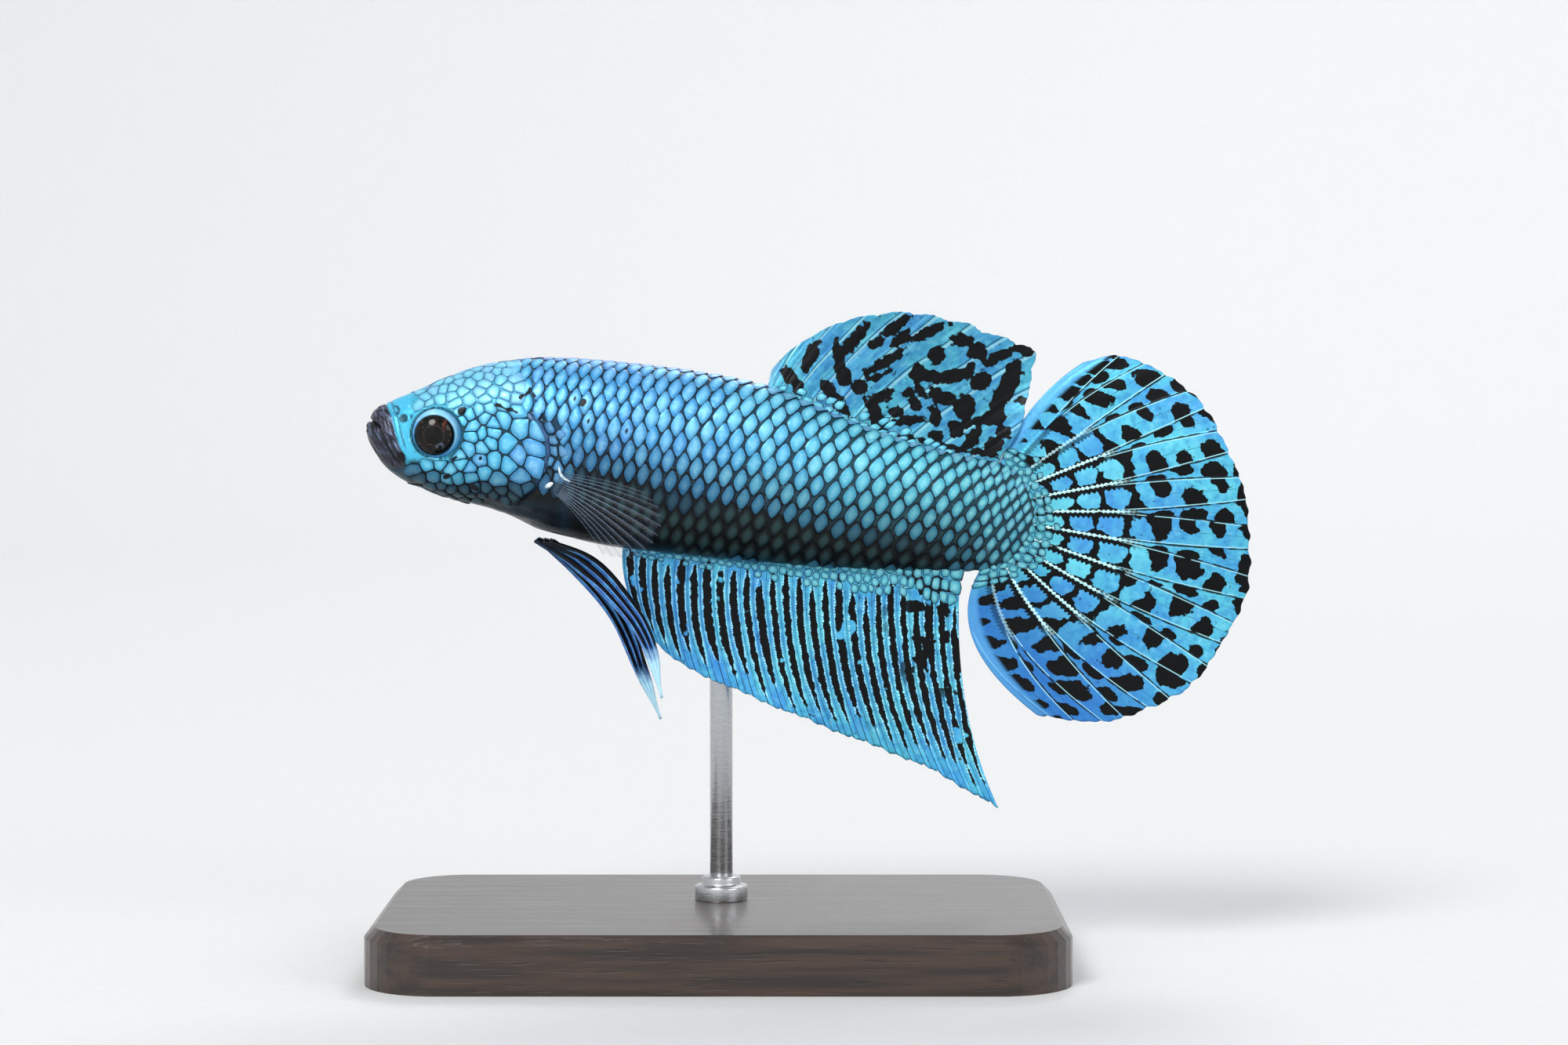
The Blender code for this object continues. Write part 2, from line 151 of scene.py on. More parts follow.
class Wire:
    # one value, vector or colour on its way through a material's nodes
    def __init__(self, tree, socket=None):
        self.tree = tree
        self.socket = socket

    def node(self, kind, settings, sockets, output=0):
        made = self.tree.nodes.new(kind)
        for key, value in settings.items():
            if key == "stops":
                ramp = made.color_ramp
                while len(ramp.elements) < len(value):
                    ramp.elements.new(1)
                for element, (place, code) in zip(ramp.elements, value):
                    element.position = place
                    element.color = tint(code)
            else:
                setattr(made, key, value)
        for key, value in sockets.items():
            if isinstance(value, Wire):
                self.tree.links.new(value.socket, made.inputs[key])
            else:
                made.inputs[key].default_value = value
        return Wire(self.tree, made.outputs[output])

    def maths(self, operation, *values):
        return self.node("ShaderNodeMath", {"operation": operation}, dict(enumerate(values)))

    def __add__(self, other):
        return self.maths("ADD", self, other)

    def __sub__(self, other):
        return self.maths("SUBTRACT", self, other)

    def __mul__(self, other):
        return self.maths("MULTIPLY", self, other)

    def __truediv__(self, other):
        return self.maths("DIVIDE", self, other)

    def __pow__(self, other):
        return self.maths("POWER", self, other)

    def __rsub__(self, other):
        return self.maths("SUBTRACT", other, self)

    def __abs__(self):
        return self.maths("ABSOLUTE", self)

    __radd__ = __add__
    __rmul__ = __mul__

    def floor(self):
        return self.maths("FLOOR", self)

    def fract(self):
        return self.maths("FRACT", self)

    def most(self, other):
        return self.maths("MAXIMUM", self, other)

    def least(self, other):
        return self.maths("MINIMUM", self, other)

    def ease(self, low, high):
        values = {"Value": self, "From Min": low, "From Max": high}
        return self.node("ShaderNodeMapRange", {"interpolation_type": "SMOOTHSTEP"}, values)

    def span(self, low, high, start, end):
        values = {"Value": self, "From Min": low, "From Max": high, "To Min": start, "To Max": end}
        return self.node("ShaderNodeMapRange", {}, values)

    def parts(self):
        made = self.tree.nodes.new("ShaderNodeSeparateXYZ")
        self.tree.links.new(self.socket, made.inputs[0])
        return [Wire(self.tree, output) for output in made.outputs]

    def vector(self, x, y, z):
        return self.node("ShaderNodeCombineXYZ", {}, {"X": x, "Y": y, "Z": z})

    def noise(self, place, scale, detail=2.0):
        return self.node("ShaderNodeTexNoise", {}, {"Vector": place, "Scale": scale, "Detail": detail})

    def chance(self, value):
        return self.node("ShaderNodeTexWhiteNoise", {"noise_dimensions": "1D"}, {"W": value})

    def blend(self, amount, first, second):
        first, second = (tint(colour) if isinstance(colour, str) else colour for colour in (first, second))
        return self.node("ShaderNodeMix", {"data_type": "RGBA"}, {0: amount, 6: first, 7: second}, 2)

    def under(self, *layers):
        # this colour with others laid over it, each as its amount and its colour
        colour = self
        for amount, above in layers:
            colour = self.blend(amount, colour, above)
        return colour

    def ramp(self, stops):
        return self.node("ShaderNodeValToRGB", {"stops": stops}, {"Fac": self})

    def objectPlace(self):
        return self.node("ShaderNodeTexCoord", {}, {}, "Object")

    def attribute(self, name):
        return self.node("ShaderNodeAttribute", {"attribute_name": name}, {}, "Vector").parts()

    def uvPlace(self, name):
        return self.node("ShaderNodeUVMap", {"uv_map": name}, {}).parts()[:2]

    def bump(self, height, distance, strength):
        values = {"Height": height, "Distance": distance, "Strength": strength}
        return self.node("ShaderNodeBump", {}, values, "Normal")


def newFinish(name, **sockets):
    # a material, its start wire and a function that feeds the shader's sockets
    material = bpy.data.materials.new(name)
    material.use_nodes = True
    tree = material.node_tree
    shader = tree.nodes["Principled BSDF"]
    for key, value in sockets.items():
        shader.inputs[key.replace("_", " ")].default_value = value

    def feed(**wires):
        for key, wire in wires.items():
            tree.links.new(wire.socket, shader.inputs[key.replace("_", " ")])

    return material, Wire(tree), feed


def arrayPiece(name, points, faces, material, sharpAngle=None):
    # a mesh object from points in millimetres
    mesh = bpy.data.meshes.new(name)
    mesh.from_pydata((np.asarray(points) * mm).tolist(), [], faces)
    mesh.materials.append(material)
    mesh.shade_smooth()
    if sharpAngle:
        mesh.set_sharp_from_angle(angle=math.radians(sharpAngle))
    item = bpy.data.objects.new(name, mesh)
    bpy.context.scene.collection.objects.link(item)
    return item


def setAttribute(item, name, values):
    # three guides for each point of the mesh, or one given thrice
    if values.ndim == 1:
        values = np.stack([values] * 3, axis=-1)
    layer = item.data.attributes.new(name, "FLOAT_VECTOR", "POINT")
    layer.data.foreach_set("vector", values.astype(np.float32).ravel())


def setUv(item, name, loopUv):
    layer = item.data.uv_layers.new(name=name)
    layer.data.foreach_set("uv", np.asarray(loopUv, np.float32).ravel())


def settle(item, replaced):
    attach(item, "root")
    if replaced:
        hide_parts(*replaced)


skinMaker = {
    "nodes": ["head", "upper_jaw", "lower_jaw", "gill_cover_left", "gill_cover_right",
              "trunk_front", "trunk_rear", "tail_stalk"],
    "halfRound": 88,          # steps from the back line down one flank to the belly line
    "ringPlaces": [-34.8, -34.4, -33.5, -28, -24, -19, -12, 14, 16, 17.9],
    "ringGaps": [0.03, 0.07, 0.1, 0.11, 0.14, 0.17, 0.4, 0.4, 0.2, 0.1],
    "fill": 0.2,              # how far the thin cuts are closed
    "voxel": 0.22,
    "smoothing": 8,
    "normalSmoothing": 6,
    "coatDepth": 0.13,
}


def fleshShell():
    # the flesh and the eyes as one closed surface, its thin cuts filled
    shape = bmesh.new()
    for node in skinMaker["nodes"] + ["eye_left", "eye_right"]:
        shape.from_mesh(frame["nodes"][node].data)
    bmesh.ops.remove_doubles(shape, verts=shape.verts, dist=1e-6)
    mesh = bpy.data.meshes.new("fleshShell")
    shape.to_mesh(mesh)
    shape.free()
    shell = bpy.data.objects.new("fleshShell", mesh)
    bpy.context.scene.collection.objects.link(shell)
    for size in (1, 0, -1):
        if size:
            step = shell.modifiers.new("fill", "DISPLACE")
            step.mid_level = 0
            step.strength = size * skinMaker["fill"] * mm
        else:
            step = shell.modifiers.new("close", "REMESH")
            step.mode = "VOXEL"
            step.voxel_size = skinMaker["voxel"] * mm
    tree = BVHTree.FromObject(shell, bpy.context.evaluated_depsgraph_get())
    bpy.data.objects.remove(shell, do_unlink=True)
    return tree


def hitFrom(tree, start, aim):
    found = tree.ray_cast(Vector(start) * mm, Vector(aim))[0]
    return None if found is None else np.array(found) / mm


def flankGrid():
    # rings along the fish, each sampled evenly from the back line down the left flank to the belly line
    tree = fleshShell()
    places = [snoutX + 0.03]
    while places[-1] < tailEndX - 0.08:
        places.append(places[-1] + np.interp(places[-1], skinMaker["ringPlaces"], skinMaker["ringGaps"]))
    count = skinMaker["halfRound"]
    rings = []
    for x in places:
        top, bottom = hitFrom(tree, (x, 0, 60), (0, 0, -1)), hitFrom(tree, (x, 0, 0), (0, 0, 1))
        if top is None or bottom is None:
            continue
        middle = bottom[2] + 0.53 * (top[2] - bottom[2])
        ring = []
        for turn in np.linspace(0, math.pi, 121):
            aim = (0, -math.sin(turn), math.cos(turn))
            start = (x, aim[1] * 20, middle + aim[2] * 20)
            found = hitFrom(tree, start, (0, -aim[1], -aim[2]))
            ring.append(found if found is not None else (x, 0, middle))
        ring = np.array(ring)
        ring[0, 1] = ring[-1, 1] = 0
        length = np.concatenate([[0], np.cumsum(np.linalg.norm(np.diff(ring, axis=0), axis=1))])
        even = np.linspace(0, length[-1], count + 1)
        rings.append(np.stack([np.interp(even, length, ring[:, axis]) for axis in range(3)], axis=1))
    return np.array(rings)


def widened(grid):
    # a half-round grid with one more column past each edge, mirrored across the mid-plane
    return np.concatenate([grid[:, 1:2] * (1, -1, 1), grid, grid[:, -2:-1] * (1, -1, 1)], axis=1)


def smoothed(grid, times, columns=(1, 2)):
    grid = grid.copy()
    for _ in range(times):
        across = widened(grid)
        near = (across[:, :-2] + across[:, 2:]) / 2
        lengthwise = grid.copy()
        lengthwise[1:-1] = (grid[:-2] + grid[2:]) / 2
        for k in columns:
            grid[:, :, k] = 0.5 * grid[:, :, k] + 0.25 * near[:, :, k] + 0.25 * lengthwise[:, :, k]
        grid[:, 0, 1] = grid[:, -1, 1] = 0
    return grid


def gridNormals(grid):
    mirrored = widened(grid)
    down = (mirrored[:, 2:] - mirrored[:, :-2]) / 2
    normals = unit(np.cross(down, np.gradient(grid, axis=0)))
    return normals * np.sign((normals[:, 20:60, 1] < 0).mean() - 0.5)


# Side-view lines of the face, as shares of the box round both jaws
jawLow = np.minimum(nodeBox("upper_jaw")[0], nodeBox("lower_jaw")[0])
jawHigh = np.maximum(nodeBox("upper_jaw")[1], nodeBox("lower_jaw")[1])


def jawSpots(shares):
    return spotsWithin(jawLow, jawHigh, shares)


face = {
    "gape": jawSpots([
        (-0.05, 0.81), (0.114, 0.787), (0.257, 0.72), (0.334, 0.588), (0.425, 0.455), (0.568, 0.335),
        (0.65, 0.31)]),
    "upperLip": jawSpots([
        (0.26, 1.03), (0.386, 0.945), (0.477, 0.836), (0.555, 0.654), (0.634, 0.504), (0.70, 0.39)]),
    "lowerLip": jawSpots([
        (-0.10, 0.62), (0.05, 0.50), (0.152, 0.405), (0.334, 0.29), (0.516, 0.239), (0.66, 0.27)]),
    "nostril": jawSpots([(0.53, 0.908)])[0],
    "pore": jawSpots([(0.70, 0.82)])[0],
    "smallPore": jawSpots([(0.84, 0.84)])[0],
    "corner": jawSpots([(0.66, 0.375)])[0],
    "jawFront": (-34.3, 42.9),     # the front of the darker lower jaw
    "lipRoll": 0.08,               # how far the lips and their wrinkles stand out, and how deep the gape is
    "lipFold": 0.022,
    "gapeDepth": 0.3,
}
gillEdge = boxSpots("gill_cover_left", [
    (0.70, 1.03), (0.88, 0.93), (0.985, 0.76), (1.0, 0.58), (0.95, 0.39), (0.83, 0.22), (0.62, 0.06),
    (0.34, -0.05), (0.0, -0.13), (-0.4, -0.17)])
cheekLine = boxSpots("gill_cover_left", [
    (0.42, 1.02), (0.35, 0.86), (0.32, 0.66), (0.25, 0.49), (0.11, 0.36), (-0.15, 0.26), (-0.45, 0.24)])
print("places read from the part")


def mouthFields(x, z):
    # distances to the gape, the upper lip's edge and the lower lip's edge, and the share along the gape
    gape, along = pathField(x, z, face["gape"])
    return gape, pathField(x, z, face["upperLip"])[0], pathField(x, z, face["lowerLip"])[0], along


def fromSpot(name, x, z):
    return np.hypot(x - face[name][0], z - face[name][1])


def fromEye(x, z):
    # distance from the eye's middle, 1 on its rim
    return np.hypot(x - eyeCentre[0], z - eyeCentre[2]) / eyeRadii[0]


def faceRelief(x, z):
    # how far the skin of the face stands out of the smooth head
    gape, upper, lower, along = mouthFields(x, z)
    nearMouth = 1 - ease(0.82, 1.0, along)
    inUpper = ease(-0.02, 0.12, gape) * ease(-0.02, 0.12, -upper)
    inLower = ease(-0.02, 0.12, -gape) * ease(-0.02, 0.12, lower)
    shareUpper = np.abs(gape) / (np.abs(gape) + np.abs(upper) + 1e-6)
    shareLower = np.abs(gape) / (np.abs(gape) + np.abs(lower) + 1e-6)
    roll = inUpper * np.sin(np.pi * shareUpper) ** 0.7 + 0.9 * inLower * np.sin(np.pi * shareLower) ** 0.7
    wrinkles = inUpper * np.sin(6.5 * np.pi * shareUpper) + inLower * np.sin(7.5 * np.pi * shareLower)
    relief = face["lipRoll"] * roll + face["lipFold"] * wrinkles
    relief = relief - face["gapeDepth"] * bell(gape, 0.13) * nearMouth
    relief = relief - 0.09 * bell(upper, 0.09) - 0.06 * bell(lower, 0.1)
    relief = relief + 0.06 * bell(upper - 0.22, 0.1) - 0.05 * bell(upper - 0.42, 0.07)
    nostril = fromSpot("nostril", x, z)
    relief = relief + 0.16 * bell(nostril - 0.13, 0.09) - 0.12 * bell(nostril, 0.07)
    relief = relief - 0.1 * bell(nostril - 0.34, 0.08)
    for name, size in (("pore", 0.3), ("smallPore", 0.16)):
        relief = relief - 0.08 * bell(fromSpot(name, x, z), size)
    eye = fromEye(x, z)
    relief = relief + 0.1 * bell(eye - 1.1, 0.07)
    relief = relief - 1.3 * (1 - ease(0.86, 1.04, eye))
    cover, coverAlong = pathField(x, z, gillEdge)
    inCover = ease(0, 0.1, -cover)
    fadeCover = ease(0.02, 0.12, coverAlong) * (1 - ease(0.5, 0.8, coverAlong))
    rise = 0.24 * inCover * np.exp(cover.clip(max=0) / 1.6) - 0.2 * bell(cover - 0.16, 0.2)
    relief = relief + fadeCover * rise
    relief = relief - 0.08 * bell(pathField(x, z, cheekLine)[0], 0.16)
    throat = ease(37.4, 36.0, z) * (1 - ease(-22.5, -20.5, x)) * ease(-33, -31.5, x)
    relief = relief + throat * 0.05 * np.sin((z + 0.22 * x) * 7.5)
    return relief


# the dark band along the lower flank, partly dark pigment and partly painted shade
darkBand = {
    "at": -13.2,          # a place along the fish and the height of the band's upper edge there
    "height": 37.35,
    "fall": 0.187,        # how fast that edge falls to the tail
}


def overBand(x, z):
    return z - (darkBand["height"] - darkBand["fall"] * (x - darkBand["at"]))


def markingsAndShade(x, z, share):
    # the colours' three guides at a place: along the fish, how dark (dark pigment and painted shade
    # together), how pale
    # the band: partly dark pigment, partly painted shade on the lower flank
    band = ease(1.7, -1.0, overBand(x, z)) * ease(-21.5, -18, x) * (1 - ease(10.6, 12.4, x))
    band = band * (1 - ease(0.93, 0.99, share) * ease(-13.5, -11, x))
    # painted shade low on the flank behind the head and on the throat
    shadedBelly = ease(0.75, 0.95, share) * (1 - ease(-16, -12, x)) * ease(-24.5, -21, x)
    throat = ease(39.4, 37.0, z) * (1 - ease(-20.0, -17.0, x))
    chin = ease(0.6, -0.7, z - (39.9 - 0.45 * (x + 32.3))) * (1 - ease(-28.5, -26.5, x)) * 0.95
    # painted shadow behind the gill cover's rear edge
    gap = np.clip(1 - np.abs(pathField(x, z, gillEdge)[0] - 0.3) / 0.45, 0, 1)
    gap = gap * ease(40.4, 38.6, z) * ease(36.0, 37.0, z)
    dark = np.clip(np.maximum.reduce([band, shadedBelly, throat, chin, gap]), 0, 1)
    pale = ease(0.1, 0.0, share) * ease(-33, -30, x) * 0.8
    return (x - snoutX) / (tailEndX - snoutX), dark, pale


def rimWidening(x, z):
    # scales lower on the flank show ever less of their bright centre
    low = np.clip((4.6 - overBand(x, z)) / 4.4, 0, 1) * ease(-23, -17, x)
    return low * (1 - 0.6 * ease(12.5, 14.5, x))


baseGrid = smoothed(flankGrid(), skinMaker["smoothing"])
baseNormals = unit(smoothed(gridNormals(baseGrid), skinMaker["normalSmoothing"], (0, 1, 2)))
ringX = baseGrid[:, 0, 0]
arcLength = np.linalg.norm(np.diff(baseGrid, axis=1), axis=2).sum(axis=1)
arcShare = np.linspace(0, 1, baseGrid.shape[1])
middleZ = (baseGrid[:, 0, 2] + baseGrid[:, -1, 2]) / 2
flankShare = np.array([np.interp(-m, -ring[:, 2], arcShare) for m, ring in zip(middleZ, baseGrid)])
backZ, bellyZ = baseGrid[:, 0, 2], baseGrid[:, -1, 2]
print("skin rings", len(baseGrid))


def sampleGrid(grid, x, share):
    # bilinear reading of a half-round grid at a distance along the fish and a share of the way round
    i = np.clip(np.interp(x, ringX, np.arange(len(ringX))), 0, len(ringX) - 1.001)
    j = np.clip(share, 0, 1) * (grid.shape[1] - 1.001)
    i0, j0 = i.astype(int), j.astype(int)
    u, v = (i - i0)[..., None], (j - j0)[..., None]
    return ((grid[i0, j0] * (1 - v) + grid[i0, j0 + 1] * v) * (1 - u)
            + (grid[i0 + 1, j0] * (1 - v) + grid[i0 + 1, j0 + 1] * v) * u)


def shareOf(x, up):
    # share of the way round for a height measured along the flank from its middle line
    return np.interp(x, ringX, flankShare) - up / np.interp(x, ringX, arcLength)


def scaled(x, z):
    # 1 where scales or plates cover the skin, 0 on the bare snout, lips, eye and throat
    front = np.maximum(ease(-31.6, -30.8, x) * ease(43.7, 44.2, z), ease(-28.4, -27.8, x))
    front = np.maximum(front, ease(-31.6, -31.0, x) * ease(39.9, 39.4, z))
    front = front * ease(36.1, 36.7, z - 0.25 * (x + 27).clip(max=0))
    front = front * ease(1.02, 1.06, fromEye(x, z))
    rear = ease(-22.0, -18.5, x)
    return front + (1 - front) * rear


def crownShare(x, z):
    # 1 on the crown and nape, where the joints between plates are faint
    return ease(42.9, 44.2, z - 0.06 * (x + 28)) * ease(-20.8, -22.5, x)


skinRelief = faceRelief(baseGrid[..., 0], baseGrid[..., 2])
covered = scaled(baseGrid[..., 0], baseGrid[..., 2])
skinGrid = baseGrid + baseNormals * (skinRelief - skinMaker["coatDepth"] * covered)[..., None]
skinGrid[:, 0, 1] = skinGrid[:, -1, 1] = 0
tuckedGrid = baseGrid - baseNormals * skinMaker["coatDepth"]     # without the gill cover's rise


def skinFinish():
    material, wire, feed = newFinish("wetSkin", Metallic=0.25, Specular_IOR_Level=0.3)
    place = wire.objectPlace()
    along, dark, pale = wire.attribute("mark")
    lip, spot, cover = wire.attribute("faceMark")
    flap = wire.attribute("flapMark")[0]
    cloud = wire.noise(place, 420, 3)
    fine = wire.noise(place, 2600, 3)
    specks = wire.noise(place, 3400, 1).ease(0.69, 0.73) * (1 - cover)
    x, y, z = place.parts()
    lengthwise = wire.vector((x * 0.82 + z * 0.56) * 4200, (z * 0.82 - x * 0.56) * 900, y * 1800)
    streak = wire.noise(lengthwise, 1.0, 3)
    jawX, jawZ = face["jawFront"]
    lowerJaw = (jawZ * mm - z - (x - jawX * mm) * 1.2).ease(0.0, 0.0007)
    # the lips: dark with lengthwise bluish streaks, their palest parts painted highlight on the lip folds
    lipColour = wire.blend(streak.ease(0.38, 0.6), "181821", "4F5368").under(
        (streak.ease(0.58, 0.68) * 0.8, "7893B8"),
        (lowerJaw * 0.5, "0A0D14"))
    colour = (along + (cloud - 0.5) * 0.12).ramp(bodyRamp).under(
        (fine.ease(0.58, 0.7) * 0.35, "9BEDF5"),
        (specks * 0.8, "16303F"),
        (pale * 0.7, "8FA0D8"),
        (cover * 0.9, "0A1A28"),
        # the dark guide: dark pigment together with painted shade
        (dark * 0.97, "03080B"),
        (flap * (0.4 + fine * 0.4), "6488C4"),
        (lip, lipColour),
        # dark pits and lines of the face, partly painted shade in their grooves
        (spot, "0B0A10"))
    height = fine * 0.6 + cloud * 0.4
    feed(Base_Color=colour, Roughness=fine.span(0.3, 0.7, 0.26, 0.42), Normal=wire.bump(height, 0.00006, 0.6))
    return material


bodyRamp = [
    (0.0, "3FB0DC"), (0.1, "50C2E4"), (0.2, "4BB4DE"), (0.27, "439CD4"), (0.36, "3E91D0"),
    (0.48, "4698D4"), (0.62, "52B2D6"), (0.78, "58BCCC"), (0.9, "48A6B0"), (1.0, "358C9A"),
]


def wholeRound(half):
    # both flanks from one: left flank down, right flank up, without doubling the mid-plane points
    return np.concatenate([half, half[:, -2:0:-1] * (1, -1, 1)], axis=1)


def makeSkin():
    points = wholeRound(skinGrid)
    rings, around = points.shape[:2]
    flat = points.reshape(-1, 3)
    ends = np.array([points[0].mean(axis=0) - (0.03, 0, 0), points[-1].mean(axis=0) + (0.03, 0, 0)])
    faces = []
    for i in range(rings - 1):
        for k in range(around):
            a, b = i * around + k, i * around + (k + 1) % around
            faces.append((a, b, b + around, a + around))
    nose, tail = len(flat), len(flat) + 1
    last = (rings - 1) * around
    for k in range(around):
        faces.append((nose, (k + 1) % around, k))
        faces.append((tail, last + k, last + (k + 1) % around))
    item = arrayPiece("fishSkin", np.concatenate([flat, ends]), faces, skinFinish())
    x, z = baseGrid[..., 0], baseGrid[..., 2]
    mark = np.stack(markingsAndShade(x, z, arcShare[None, :] + 0 * x), axis=-1)
    gape, upper, lower, along = mouthFields(x, z)
    lip = ease(0.06, -0.06, upper) * ease(-0.08, 0.04, lower) * ease(-30.9, -31.6, x)
    corner = np.hypot((x - face["corner"][0]) / 0.42, (z - face["corner"][1]) / 0.52)
    nostrilX, nostrilZ = face["nostril"]
    ring = bell(fromSpot("nostril", x, z) - 0.32, 0.09) * ease(-0.3, 0.1, x - nostrilX + 0.3 * (z - nostrilZ))
    pore = ease(1.15, 0.85, fromSpot("pore", x, z) / 0.36)
    small = ease(1.2, 0.8, fromSpot("smallPore", x, z) / 0.17)
    seam = bell(upper - 0.42, 0.06) * ease(40.4, 41.0, z) * 0.9
    rim = bell(fromEye(x, z) - 1.02, 0.035)
    # dark spots and lines: the mouth's corner, a one-sided ring round the nostril, two pores, a seam above
    # the upper lip, a rim round the eye and the gape; they lie in the relief's pits and grooves and are
    # partly painted shade there
    spot = np.maximum.reduce([ease(1.1, 0.8, corner), ring, pore * 0.85, small * 0.7, seam, rim])
    spot = np.clip(spot, 0, 1)
    spot = np.maximum(spot, bell(gape, 0.14) * (1 - ease(0.9, 1.0, along)))
    faceMark = np.stack([lip, spot, covered * (1 - 0.75 * crownShare(x, z))], axis=-1)
    cover, coverAlong = pathField(x, z, gillEdge)
    flap = bell(cover + 0.07, 0.09) * ease(0.0, 0.04, coverAlong) * (1 - ease(0.42, 0.66, coverAlong))
    flapMark = np.stack([flap, flap, flap], axis=-1)
    for name, half in (("mark", mark), ("faceMark", faceMark), ("flapMark", flapMark)):
        full = np.concatenate([half, half[:, -2:0:-1]], axis=1).reshape(-1, 3)
        setAttribute(item, name, np.concatenate([full, full[:1], full[-1:]]))
    settle(item, skinMaker["nodes"])
    print("skin", len(faces), "faces")


makeSkin()


plateMaker = {
    "corners": 12,
    "patch": 0.003,                  # width of each plate's patch on the bake's map
}


def plateMesh(name, surface, plates, material, flip):
    # all plates as one mesh, each a domed middle, a rim and a skirt on surface(x, up)
    def each(key):
        return np.array([plate[key] for plate in plates])

    def wide(values):
        return values[:, None, None]

    outlines = each("outline")
    count, corners = outlines.shape[:2]
    inner = 1 - wide(each("rim"))
    radii = np.concatenate([0 * inner, 0.55 * inner, inner, 1 + 0 * inner, 1.01 + 0 * inner], axis=1)
    spots = wide(each("centre")) + outlines[:, None] * radii[..., None]
    across = (outlines[:, None, :, 0] * radii) / wide(np.abs(outlines[..., 0]).max(axis=1))
    height = wide(each("lift")) + wide(each("dome")) * (1 - radii ** 2).clip(0) + wide(each("tilt")) * across
    height[:, 3] -= 0.02
    height[:, 4] = -0.06
    points, normals = surface(spots[..., 0], spots[..., 1])
    points = points + normals * height[..., None]
    points = np.concatenate([points[:, 0, :1]] + [points[:, ring] for ring in (1, 2, 3, 4)], axis=1)
    perPlate = points.shape[1]
    following = (np.arange(corners) + 1) % corners
    pattern = [(0, 1 + k, 1 + after) for k, after in enumerate(following)]
    for ring in (1, corners + 1, 2 * corners + 1):
        pattern += [(ring + k, ring + k + corners, ring + after + corners, ring + after)
                    for k, after in enumerate(following)]
    bright = [k < 2 * corners for k in range(len(pattern))]
    if flip:
        pattern = [corner[::-1] for corner in pattern]
    faces = [tuple(int(v) + p * perPlate for v in corner) for p in range(count) for corner in pattern]
    item = arrayPiece(name, points.reshape(-1, 3), faces, material, 48)
    edge = np.concatenate([[0.0], np.repeat((0.3, 0.5, 0.75, 1.0), corners)])
    lie = [np.tile(edge, count), np.repeat(each("tone"), perPlate), np.repeat(each("centreDark"), perPlate)]
    setAttribute(item, "lie", np.stack(lie, axis=-1))
    setAttribute(item, "mark", np.repeat(each("guide"), perPlate, axis=0))
    roots = each("root")
    low, high = roots.min(axis=0), roots.max(axis=0)
    roots = 0.02 + 0.96 * (roots - low) / np.maximum(high - low, 1e-9)
    local = np.concatenate([np.zeros((count, 1, 2)), 0.55 * outlines, outlines, outlines, outlines], axis=1)
    local = local / wide(np.abs(outlines).max(axis=(1, 2)))
    loops = np.concatenate([np.array(corner) for corner in pattern])
    aside = 1.5 * plateMaker["patch"]          # the dark edge's own patch
    shift = np.concatenate([np.full(len(corner), 0.0 if shine else aside)
                            for corner, shine in zip(pattern, bright)])
    uv = roots[:, None] + plateMaker["patch"] / 2 * local[:, loops]
    uv[..., 0] += shift
    setUv(item, "OFBake", uv)
    return item


# Dark strokes on the head: both ends as shares of the head's box, and half the width in mm
headStrokes = [
    (0.455, 0.690, 0.463, 0.700, 0.27), (0.674, 0.730, 0.698, 0.726, 0.13),
    (0.698, 0.726, 0.735, 0.706, 0.08), (0.745, 0.704, 0.776, 0.699, 0.13),
    (0.776, 0.699, 0.806, 0.684, 0.11), (0.825, 0.775, 0.840, 0.787, 0.13),
    (0.854, 0.790, 0.870, 0.801, 0.14), (0.870, 0.801, 0.882, 0.828, 0.08),
    (0.893, 0.792, 0.906, 0.780, 0.13), (0.945, 0.648, 0.960, 0.675, 0.14),
    (1.205, 0.738, 1.210, 0.748, 0.22), (0.405, 0.408, 0.425, 0.420, 0.15),
    (0.352, 0.300, 0.368, 0.310, 0.14), (0.575, 0.410, 0.580, 0.416, 0.08),
    (0.520, 0.240, 0.545, 0.225, 0.24),
]


